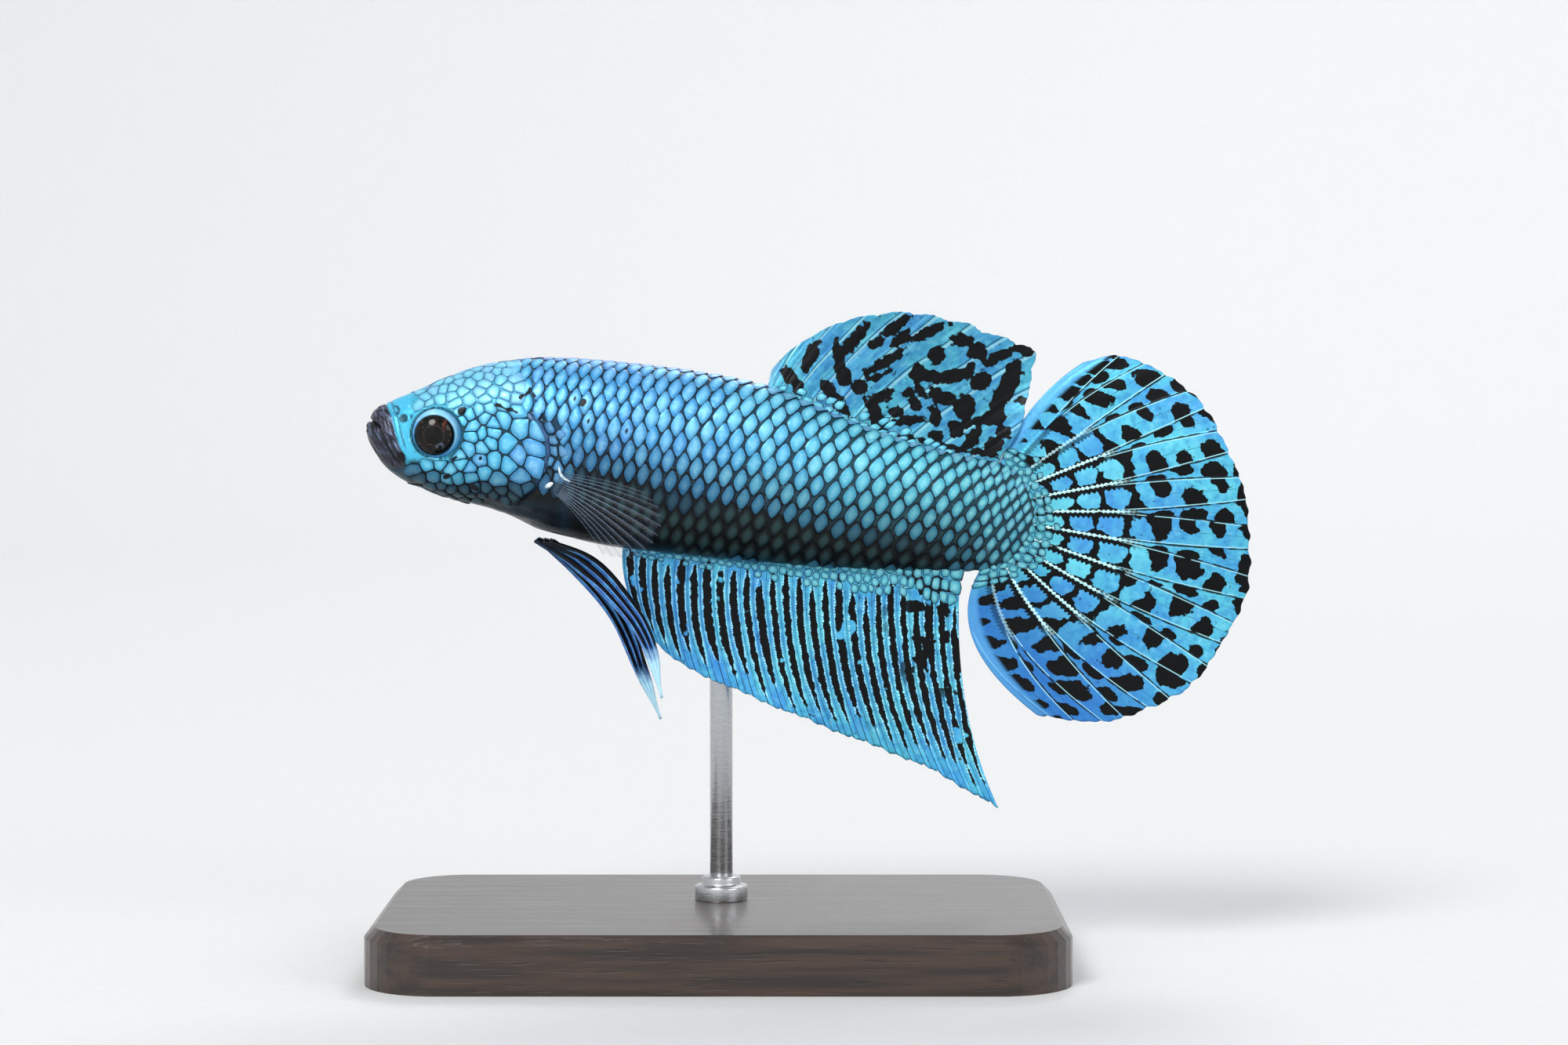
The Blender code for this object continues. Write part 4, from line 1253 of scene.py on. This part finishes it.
def dorsalFinish():
    material, wire, feed, place, u, v = membraneStart("dorsalMembrane")
    field = wire.attribute("blotch")[0]
    colour, fine = membraneBase(wire, place)
    wave = u * 11 + (wire.noise(place, 150, 1) - 0.5) * 0.4
    lane, number = wave.fract(), wave.floor()
    luck = wire.chance(number + 21)
    border = lane.least(1 - lane)
    ragged = (wire.noise(place, 1700, 3) - 0.5) * 0.9
    front = u.ease(0.04, 0.07)
    black = (field + 0.14 + ragged).ease(-0.02, 0.05)
    rayLine = (0.035 - border).ease(0.0, 0.03) * 0.75
    streak = wire.noise(wire.vector(wave * 5, v * 2.5, 3.0), 1.0, 2)
    paleEdge = (0.08 - abs(lane - 0.1)).ease(0.0, 0.06) * 0.4
    colour = colour.under(
        (0.34, "0E3550"),
        (luck.ease(0.4, 1.0) * 0.35, "4A90DC"),
        # lighter and darker streaks along the rays, which the bump also draws as folds: painted highlight and
        # shade of those folds
        (streak.ease(0.5, 0.7) * 0.35, "7FD6E2"),
        (streak.ease(0.42, 0.3) * 0.4, "2F6FB4"),
        ((1 - front) * 0.6, "7CBEE4"),
        (paleEdge, "B4EAF0"),
        (black.most(rayLine), "04070A"))
    ridge = border.ease(0.2, 0.0) * 0.8 + streak * 0.6 + fine * 0.3
    feed(Base_Color=colour, Roughness=fine.span(0.3, 0.7, 0.32, 0.48), Normal=wire.bump(ridge, 0.00012, 0.6))
    return material


def pelvicFinish():
    material, wire, feed, place, u, v = membraneStart("pelvicMembrane", 0.25)
    fine = wire.noise(place, 1800, 3)
    lane = (u * 3 + (wire.noise(place, 300, 1) - 0.5) * 0.4).fract()
    pale = (lane - 0.05).ease(0.0, 0.04) * (0.17 - lane).ease(0.0, 0.05)
    pale = pale.most((lane - 0.40).ease(0.0, 0.03) * (0.48 - lane).ease(0.0, 0.03) * 0.6)
    black = (lane - 0.46).ease(0.0, 0.05) * (1.0 - lane).ease(0.0, 0.04)
    tip = (v + (fine - 0.5) * 0.06).ease(0.74, 0.84)
    colour = wire.blend(fine.ease(0.4, 0.65), "2763BC", "3F96DC").under(
        (pale * (0.4 + v * 0.4), "C4E2F4"),
        (black * v.ease(0.84, 0.72), "040609"),
        (tip * (0.75 + fine * 0.25), "BFE9F7"),
        (v.ease(0.34, 0.04) * 0.85, "05090F"))
    feed(Base_Color=colour, Roughness=fine.span(0.3, 0.7, 0.32, 0.46),
         Normal=wire.bump(pale + fine * 0.3, 0.0001, 0.7))
    return material


def pectoralFinish():
    material, wire, feed = newFinish("clearMembrane", Roughness=0.3)
    u, v = wire.uvPlace("rayMap")
    lane = (u * 12 + 0.5).fract()
    ray = abs(lane - 0.5).ease(v.span(0, 1, 0.26, 0.13), 0.02)
    strength = ray * v.span(0, 1, 1.0, 0.45)
    colour = wire.blend(strength, "16293F", "86A0BC")
    clear = 0.07 + strength * 0.3 + v.ease(0.14, 0.0) * 0.3
    feed(Base_Color=colour, Alpha=clear.least(0.97), Normal=wire.bump(ray, 0.00003, 0.4))
    return material


dorsalMaker = {
    "edge": [(0.024, 0.603), (0.1, 0.745), (0.243, 0.905), (0.414, 0.994), (0.624, 0.985),
             (0.833, 0.869), (1.005, 0.727), (0.991, 0.469), (0.948, 0.176), (0.891, 0.029)],
    "footEnd": 0.862,          # where its foot ends, as a share of its box's length
    "footSpread": 1.75,        # how much wider apart the rear rays stand
    "grid": (221, 90),
    "ripple": (0.7, 1.5, 0.2),
    "pleats": (0.035, 11),
    "teeth": (0.03, 11),
}
analMaker = {
    "edge": [(0.052, 0.718), (0.139, 0.585), (0.348, 0.441), (0.596, 0.287), (0.812, 0.163), (1.0, 0.0)],
    "footEnd": 0.899,
    "grid": (261, 60),
    "ripple": (0.45, 2.0, 0.1),
    "pleats": (0.04, 26),
    "teeth": (0.014, 26),
}
pelvicMaker = {
    # the front and rear edge from the foot to the tip
    "Left": ([(0.0, 1.0), (0.252, 0.85), (0.524, 0.648), (0.796, 0.372), (0.951, 0.0)],
             [(0.136, 0.988), (0.466, 0.891), (0.718, 0.672), (0.913, 0.389), (1.0, 0.016)]),
    "Right": ([(0.0, 1.0), (0.29, 0.797), (0.57, 0.564), (0.75, 0.296), (0.95, 0.0)],
              [(0.14, 0.99), (0.5, 0.797), (0.75, 0.536), (0.88, 0.275), (1.0, 0.007)]),
    "aside": (1.35, 3.0),      # mm from the mid-plane at the foot and at the tip
    "pleats": (0.1, 3),
    "grid": (31, 60),
    "halves": (0.2, 0.08),
}
pectoralMaker = {
    "edge": [(0.867, 0.768), (1.001, 0.552), (0.964, 0.259), (0.745, 0.012), (0.452, 0.028)],
    "edgeAside": (0.82, 0.93, 0.88, 0.71, 0.51),       # shares of the box's width
    "foot": [(-0.03, 1.0), (-0.03, 0.753)],
    "footSink": (0.35, 0.5),
    "bow": (0.3, 0.3, 0.5),
    "grid": (97, 30),
    "ripple": (0.12, 1.0, 0.3),
    "pleats": (0.05, 12),
    "teeth": (0.03, 12),
    "halves": (0.12, 0.03),
}
finSheets = {}


def ridgeFin(fin, node, maker, spread, line, sink, bow, material):
    # a fin whose foot runs along the back or the belly
    low, high = nodeBox(node)
    length = high[0] - low[0]
    finSheets[fin] = fanSheet(
        lambda u: footOnBack(u ** spread, low[0] + 0.1, low[0] + maker["footEnd"] * length, line, sink),
        sidePoints(node, maker["edge"]), bow, maker)
    return finPiece(fin + "Fin", finSheets[fin], maker, material, node)


def makeFins():
    sink = finMaker["rootSink"]
    item, points = ridgeFin("dorsal", "dorsal_fin", dorsalMaker, dorsalMaker["footSpread"], backZ, -sink,
                            lambda u: bend3(-2.4 * (1 - u) * u, 2.6 * (1 - u) * u - 0.4 * u), dorsalFinish())
    setAttribute(item, "blotch", blotchField(points, "dorsal_fin", dorsalBlotches))
    ridgeFin("anal", "anal_fin", analMaker, 1, bellyZ, sink,
             lambda u: bend3(-1.3 - 1.2 * u * u, 0.3 - 1.6 * u * u), analFinish())
    base = sidePoints("caudal_fin", caudalMaker["foot"]) + np.array(caudalMaker["footShift"])

    def caudalBow(u):
        upper, lower = (1 - 2 * u).clip(0) ** 2, (2 * u - 1).clip(0) ** 2
        return bend3(-1.1 * upper - 5.6 * lower, 1.2 * upper + 0.2 * lower)

    edge = sidePoints("caudal_fin", caudalMaker["edge"])
    finSheets["caudal"] = fanSheet(lambda u: curveAlong(base, u), edge, caudalBow, caudalMaker)
    finPiece("caudalFin", finSheets["caudal"], caudalMaker, caudalFinish(), "caudal_fin")
    pelvicMaterial, clearMaterial = pelvicFinish(), pectoralFinish()
    for word, sign in flanks:
        node = "pelvic_fin_" + word.lower()
        front, rear = (sidePoints(node, shares) for shares in pelvicMaker[word])
        atFoot, atTip = pelvicMaker["aside"]
        depth, folds = pelvicMaker["pleats"]

        def blade(u, v, front=front, rear=rear, sign=sign):
            share = (0.5 + (u - 0.5) * (1 - 0.9 * ease(0.8, 1.0, v)))[..., None]
            spots = curveAlong(front, v) * (1 - share) + curveAlong(rear, v) * share
            spots[..., 1] = sign * (atFoot + (atTip - atFoot) * v) + depth * np.cos(2 * np.pi * folds * u)
            return spots

        finPiece("pelvicFin" + word, blade, pelvicMaker, pelvicMaterial, node)
    maker = pectoralMaker
    for word, sign in flanks:
        node = "pectoral_fin_" + word.lower()
        lowY, highY = sorted(abs(nodeBox(node)[k][1]) for k in (0, 1))
        edge = sidePoints(node, maker["edge"])
        edge[:, 1] = [sign * (lowY + share * (highY - lowY)) for share in maker["edgeAside"]]
        root = sidePoints(node, maker["foot"])
        root[:, 1] = [sign * (lowY - sunk) for sunk in maker["footSink"]]
        bow = np.array(maker["bow"]) * (1, sign, 1)
        sheet = fanSheet(lambda u, root=root: root[0] * (1 - u[..., None]) + root[1] * u[..., None], edge,
                         lambda u, bow=bow: bow + 0 * u[..., None], maker)
        finPiece("pectoralFin" + word, sheet, maker, clearMaterial, node)
    print("fins ready")


makeFins()


finRootMaker = {
    # pale roots beside the pectoral fins, as shares of the fin's box: a crescent and a short lobe
    "strokes": [([(0.03, 1.065), (0.04, 0.99), (0.075, 0.93), (0.135, 0.885)], 0.12),
                ([(-0.105, 0.815), (-0.07, 0.842), (-0.03, 0.872)], 0.2)],
    "sections": 14,
    "corners": 12,
}


def flankPoint(x, z):
    # the left flank's surface at a side-view place
    i = np.interp(x, ringX, np.arange(len(ringX)))
    ring = baseGrid[int(i)] * (1 - i % 1) + baseGrid[int(i) + 1] * (i % 1)
    return np.array([x, np.interp(-z, -ring[:, 2], ring[:, 1]), z])


def rootFinish():
    material, wire, feed = newFinish("paleFinRoot", Roughness=0.4)
    fine = wire.noise(wire.objectPlace(), 3200, 2)
    colour = wire.blend(fine.ease(0.35, 0.65), "A9C3D2", "EDF6FA")
    feed(Base_Color=colour, Normal=wire.bump(fine, 0.00003, 0.5))
    return material


def makeFinRoots():
    points, faces = [], []
    sections, corners = finRootMaker["sections"], finRootMaker["corners"]
    turns = 2 * np.pi * np.arange(corners) / corners
    for shares, thick in finRootMaker["strokes"]:
        knots = [flankPoint(x, z) for x, z in boxSpots("pectoral_fin_left", shares)]
        line = curveAlong(knots, np.linspace(0, 1, sections)) - (0, 0.1, 0)
        ahead = unit(np.gradient(line, axis=0))
        out = np.array([0, -1.0, 0]) - ahead * (ahead @ np.array([0, -1.0, 0]))[:, None]
        aside = np.cross(ahead, out)
        radius = thick * np.sin(np.pi * np.linspace(0.04, 0.96, sections)) ** 0.6
        for side in (-1, 1):
            first = len(points)
            for k in range(sections):
                for turn in turns:
                    spot = line[k] + radius[k] * (math.cos(turn) * out[k] * 0.8 + math.sin(turn) * aside[k])
                    points.append(spot * (1, -side, 1))
            rings = [[first + k * corners + c for c in range(corners)] for k in range(sections)]
            made = [(low[c], low[(c + 1) % corners], high[(c + 1) % corners], high[c])
                    for low, high in zip(rings, rings[1:]) for c in range(corners)]
            made += [tuple(reversed(rings[0])), tuple(rings[-1])]
            faces += made if side < 0 else [corner[::-1] for corner in made]
    item = arrayPiece("pectoralFinRoots", points, faces, rootFinish(), 60)
    settle(item, [])
    shape = bmesh.new()
    shape.from_mesh(item.data)
    bmesh.ops.recalc_face_normals(shape, faces=shape.faces)
    shape.to_mesh(item.data)
    shape.free()


makeFinRoots()


footScaleMaker = {
    "jitter": 0.22,
    "rim": 0.055,
    "dome": 0.05,
    # each fin's foot and rays in mm and the power that spaces its rays, how far the scales reach out,
    # their half size at the foot and there, and their three guides at the fin's front and rear
    "caudal": ((14.5, 15.5, 1), 2.4, (0.40, 0.30), (0.93, 0.05, 0.0), (0.93, 0.05, 0.0)),
    "anal": ((26.6, 12.0, 1), 2.0, (0.38, 0.30), (0.62, 0.25, 0.0), (0.87, 0.10, 0.0)),
    "dorsal": ((19.5, 9.0, 1 / 1.75), 1.5, (0.42, 0.32), (0.74, 0.0, 0.0), (0.74, 0.0, 0.0)),
}


def finSurface(surface, lengths, side):
    # a fin's face, read in millimetres along its foot and out along its rays
    def read(a, b):
        u, v = (a / lengths[0]).clip(0) ** lengths[2], b / lengths[1]
        middle = surface(u, v)
        across = surface(u + 0.002, v) - surface(u - 0.002, v)
        outward = surface(u, v + 0.01) - surface(u, v - 0.01)
        normals = unit(np.cross(across, outward))
        normals = normals * np.where(normals[..., 1:2] * side < 0, -1, 1)
        half = halfThickness(v, *finMaker["halves"])
        return middle + normals * half[..., None], normals

    return read


def footScales(fin, dice):
    # close irregular plates from the foot outwards, thinning out along the rays
    lengths, reach, sizes, front, rear = footScaleMaker[fin]
    seeds, radii = [], []
    jitter = footScaleMaker["jitter"]
    row, b = 0, -0.6 * sizes[0]
    while b < reach + 2 * sizes[1]:
        size = np.interp(b, (0, reach), sizes)
        a = size * (1 + (row % 2))
        while a < lengths[0] - size:
            seeds.append((a + dice.normal(0, jitter) * size, b + dice.normal(0, jitter) * size))
            radii.append(size)
            a += size * 2
        b += size * 1.7
        row += 1
    seeds, radii = np.array(seeds), np.array(radii)
    out = seeds[:, 1] / reach
    kept = np.nonzero((out > 0.02) & (out < 1) & (dice.random(len(seeds)) > 1.5 * out ** 2 - 0.45))[0]
    outlines = voronoiPlates(seeds, radii, kept, 0.02, plateMaker["corners"])
    plates = []
    for k, outline in zip(kept, outlines):
        size = np.linalg.norm(outline, axis=1).mean()
        along = seeds[k][0] / lengths[0]
        plates.append({
            "centre": tuple(seeds[k]),
            "outline": outline,
            "rim": float(np.clip(footScaleMaker["rim"] / size, 0.1, 0.3)),
            "dome": footScaleMaker["dome"],
            "tilt": 0.0,
            "lift": 0.03,
            "guide": tuple(a + (b - a) * along for a, b in zip(front, rear)),
            "tone": dice.random(),
            "centreDark": 0.0,
            "root": tuple(seeds[k]),
        })
    return plates


for fin in ("caudal", "anal", "dorsal"):
    for word, side in flanks:
        plates = footScales(fin, np.random.default_rng(31 + side))
        surface = finSurface(finSheets[fin], footScaleMaker[fin][0], side)
        probe, _ = surface(np.array([1.0, 1.2, 1.0]), np.array([1.0, 1.0, 1.2]))
        turn = np.cross(probe[1] - probe[0], probe[2] - probe[0])[1]
        item = plateMesh(fin + "FootScales" + word, surface, plates, scaleMaterial, turn * side < 0)
        settle(item, [])
print("foot scales ready")


eyeMaker = {
    "ring": (0.02, 0.02, 1.93),        # how far its middle lies from the eyeball's, and its radius
    "iris": (-0.15, -0.14, 1.56),
    "pupil": 0.70,
}


def eyeFinish():
    material, wire, feed = newFinish("wetEye", Roughness=0.4, Specular_IOR_Level=0.05,
                                    Coat_Weight=0.4, Coat_Roughness=0.03)
    place = wire.objectPlace()
    x, y, z = place.parts()
    x, z = x * (1 / mm) - float(eyeCentre[0]), z * (1 / mm) - float(eyeCentre[2])

    def distance(dx, dz):
        return ((x - dx) ** 2 + (z - dz) ** 2) ** 0.5

    ring, iris = distance(*eyeMaker["ring"][:2]), distance(*eyeMaker["iris"][:2])
    ringRadius, irisRadius, pupil = eyeMaker["ring"][2], eyeMaker["iris"][2], eyeMaker["pupil"]
    fine = wire.noise(place, 2400, 3)
    lean = (x + z) * 0.25 + 0.5
    spokes = wire.noise(wire.vector(x / (iris + 0.05) * 2.2, z / (iris + 0.05) * 2.2, iris * 0.8), 1.6, 3)
    flecks = wire.noise(place, 3600, 1).ease(0.68, 0.72)
    # places for a painted reddish glint at the iris's upper right and a painted grey-blue reflection at its
    # lower right
    glow, glint = distance(0.62, 0.52), distance(0.30, -0.98)
    irisColour = wire.blend(spokes.ease(0.5, 0.66), "040303", "1A0E0B").under(
        (glow.ease(0.75, 0.15) * spokes.ease(0.42, 0.6) * 0.8, "6A3426"),
        (glint.ease(0.42, 0.12) * fine.ease(0.4, 0.6) * 0.75, "6E8098"),
        (flecks * 0.5, "8A7048"),
        (abs(iris - (pupil + 0.09)).ease(0.09, 0.03) * 0.45, "332C2A"),
        (iris.ease(pupil + 0.05, pupil), "000000"))
    colour = wire.blend(lean.ease(0.1, 0.9), "4F93CC", "86C8EA").under(
        (fine.ease(0.5, 0.7) * 0.4, "B4DAF0"),
        (iris.ease(irisRadius + 0.03, irisRadius - 0.03), irisColour),
        (abs(iris - irisRadius).ease(0.09, 0.02) * 0.75, "02060C"),
        (ring.ease(ringRadius - 0.07, ringRadius), "0A1A2C"))
    feed(Base_Color=colour, Normal=wire.bump(fine, 0.00002, 0.3))
    return material


def makeEyes():
    material = eyeFinish()
    for word, sign in flanks:
        bpy.ops.object.select_all(action="DESELECT")
        bpy.ops.mesh.primitive_uv_sphere_add(segments=72, ring_count=48, radius=1,
                                             rotation=(math.pi / 2, 0, 0))
        eye = bpy.context.object
        eye.name = "eye" + word
        bpy.ops.object.transform_apply(location=True, rotation=True, scale=True)
        centre = np.array([eyeCentre[0], sign * abs(eyeCentre[1]), eyeCentre[2]])
        for corner in eye.data.vertices:
            spot = np.array(corner.co)
            placed = spot * eyeRadii
            if spot[1] * sign > 0:
                iris = math.hypot(placed[0] - eyeMaker["iris"][0], placed[2] - eyeMaker["iris"][1])
                dip = 0.1 * math.exp(-(((iris - 1.58) / 0.13) ** 2)) - 0.05 * math.exp(-((iris / 0.9) ** 2))
                placed[1] -= sign * dip
            corner.co = Vector((centre + placed) * mm)
        eye.data.shade_smooth()
        eye.data.materials.append(material)
        settle(eye, ["eye_" + word.lower()])
    print("eyes ready")


makeEyes()


def woodFinish():
    material, wire, feed = newFinish("stainedWood", Coat_Weight=0.35, Coat_Roughness=0.15)
    x, y, z = wire.objectPlace().parts()
    grainPlace = wire.vector(x * 60, y * 900, z * 900)
    bands = wire.noise(grainPlace, 1.2, 4)
    pores = wire.noise(wire.vector(x * 300, y * 5200, z * 5200), 1.0, 2)
    colour = wire.blend(bands.ease(0.36, 0.66), "20150F", "3B281D")
    colour = wire.blend(pores.ease(0.6, 0.72) * 0.7, colour, "120B08")
    height = bands * 0.5 - pores.ease(0.58, 0.7) * 0.5
    feed(Base_Color=colour, Roughness=bands.span(0.3, 0.7, 0.3, 0.42), Normal=wire.bump(height, 0.00008, 0.5))
    return material


def steelFinish():
    material, wire, feed = newFinish("brushedSteel", Metallic=1.0)
    x, y, z = wire.objectPlace().parts()
    brushed = wire.noise(wire.vector(x * 900, y * 900, z * 9000), 1.0, 3)
    colour = wire.blend(brushed, "A9ABAE", "C9CBCE")
    feed(Base_Color=colour, Roughness=brushed.span(0.3, 0.7, 0.2, 0.36),
         Normal=wire.bump(brushed, 0.00002, 0.3))
    return material


def pickFaces(item, test):
    # in edit mode, only the faces that pass the test are selected
    bpy.ops.mesh.select_all(action="DESELECT")
    shape = bmesh.from_edit_mesh(item.data)
    for side in shape.faces:
        side.select = test(side)
    bmesh.update_edit_mesh(item.data)


def cylinderBlank(name, corners, radius, low, high, middle=(0, 0)):
    # a cylinder between two heights, in metres, left in edit mode with its top face selected
    bpy.ops.object.select_all(action="DESELECT")
    bpy.ops.mesh.primitive_cylinder_add(vertices=corners, radius=radius, depth=high - low,
                                        location=(middle[0], middle[1], (high + low) / 2))
    item = bpy.context.object
    item.name = name
    bpy.ops.object.transform_apply(location=True, rotation=True, scale=True)
    bpy.ops.object.mode_set(mode="EDIT")
    pickFaces(item, lambda side: side.normal.z > 0.9)
    return item


def finishTurned(item, rounding, segments, material):
    bpy.ops.object.mode_set(mode="OBJECT")
    edgeRound = item.modifiers.new("edgeRound", "BEVEL")
    edgeRound.width = rounding * mm
    edgeRound.segments = segments
    edgeRound.angle_limit = math.radians(50)
    bpy.ops.object.modifier_apply(modifier="edgeRound")
    bpy.ops.object.shade_smooth_by_angle(angle=math.radians(40))
    item.data.materials.append(material)


standMaker = {
    "rodTip": 0.25,                  # the cone at the rod's top: its share of the radius and its height
    "rodRounding": 0.08,
    "collarRadius": 2.1,
    "collarHeight": 1.3,
    "collarShoulder": 0.55,
    "collarStep": 0.7,
    "collarRim": 0.35,
    "collarRounding": 0.18,
}


def makeStand():
    frame["nodes"]["stand_base"].data.materials.clear()
    frame["nodes"]["stand_base"].data.materials.append(woodFinish())
    steel = steelFinish()
    maker = standMaker
    low, high = nodeBox("stand_rod")
    top = nodeBox("stand_base")[1][2]
    middle = (low + high) / 2 * mm
    radius = (high[0] - low[0]) / 2
    rod = cylinderBlank("standRod", 48, radius * mm, (top - 1) * mm, high[2] * mm, middle)
    bpy.ops.mesh.inset(thickness=maker["rodTip"] * radius * mm, depth=0)
    bpy.ops.transform.translate(value=(0, 0, maker["rodTip"] * mm))
    finishTurned(rod, maker["rodRounding"], 2, steel)
    settle(rod, ["stand_rod"])
    collarFoot = top - 0.1
    collar = cylinderBlank("standCollar", 64, maker["collarRadius"] * mm, collarFoot * mm,
                           (collarFoot + maker["collarHeight"]) * mm, middle)
    bpy.ops.mesh.inset(thickness=maker["collarShoulder"] * mm, depth=0)
    bpy.ops.mesh.extrude_region_move(TRANSFORM_OT_translate={"value": (0, 0, maker["collarStep"] * mm)})
    bpy.ops.mesh.inset(thickness=maker["collarRim"] * mm, depth=0)
    finishTurned(collar, maker["collarRounding"], 3, steel)
    settle(collar, [])
    print("stand ready")


makeStand()


studio = {
    "lens": 85,
    "distance": 0.292,                     # from the camera to its aim, in metres
    "aim": (-0.002, 0.0, 0.0347),
    "rise": 2.6,                           # degrees the camera looks down
    "lampAim": (0, 0, 0.03),
    # each lamp's place and size in metres, its power and its colour
    "lamps": {
        "keyLight": ((-0.42, -0.85, 0.9), 0.5, 11.0, (1, 0.985, 0.96)),
        "fillLight": ((0.8, -0.6, 0.35), 0.6, 3.2, (0.95, 0.975, 1)),
        "backLight": ((0.2, 0.8, 0.85), 0.5, 5.0, (1, 1, 1)),
    },
    "airColour": (0.94, 0.96, 1.0, 1),
    "airStrength": 0.68,
    "dishRadius": 1.1,                     # the floor and its upward sweep
    "dishHeight": 1.6,
    "dishSweep": 0.5,
}


def makeStudio():
    dish = cylinderBlank("studioDish", 128, studio["dishRadius"], 0, studio["dishHeight"])
    bpy.ops.mesh.delete(type="FACE")
    bpy.ops.mesh.select_all(action="SELECT")
    bpy.ops.mesh.flip_normals()
    pickFaces(dish, lambda side: abs(side.normal.z) > 0.9)
    bpy.ops.mesh.bevel(offset=studio["dishSweep"], segments=24)
    bpy.ops.object.mode_set(mode="OBJECT")
    dish.data.shade_smooth()
    material, wire, feed = newFinish("studioPaper", Roughness=0.85)
    paper = wire.noise(wire.objectPlace(), 900, 2)
    feed(Base_Color=wire.blend(paper, "D4D5D6", "CDCECF"))
    dish.data.materials.append(material)


def makeLamps():
    for name, (place, size, power, colour) in studio["lamps"].items():
        lamp = bpy.data.lights.new(name, "AREA")
        lamp.shape = "DISK"
        lamp.size = size
        lamp.energy = power
        lamp.color = colour
        item = bpy.data.objects.new(name, lamp)
        item.location = place
        item.rotation_euler = (Vector(studio["lampAim"]) - Vector(place)).to_track_quat("-Z", "Y").to_euler()
        bpy.context.scene.collection.objects.link(item)
    world = bpy.data.worlds.new("studioAir")
    bpy.context.scene.world = world
    world.use_nodes = True
    air = world.node_tree.nodes["Background"]
    air.inputs["Color"].default_value = studio["airColour"]
    air.inputs["Strength"].default_value = studio["airStrength"]


def makeCamera():
    lens = bpy.data.cameras.new("studioCamera")
    lens.lens = studio["lens"]
    lens.clip_start = 0.005
    camera = bpy.data.objects.new("studioCamera", lens)
    aim = Vector(studio["aim"])
    rise = math.radians(studio["rise"])
    camera.location = aim + studio["distance"] * Vector((0, -math.cos(rise), math.sin(rise)))
    camera.rotation_euler = (aim - camera.location).to_track_quat("-Z", "Y").to_euler()
    bpy.context.scene.collection.objects.link(camera)
    bpy.context.scene.camera = camera


makeStudio()
makeLamps()
bpy.context.scene.view_settings.view_transform = "Standard"
makeCamera()
print("studio ready")
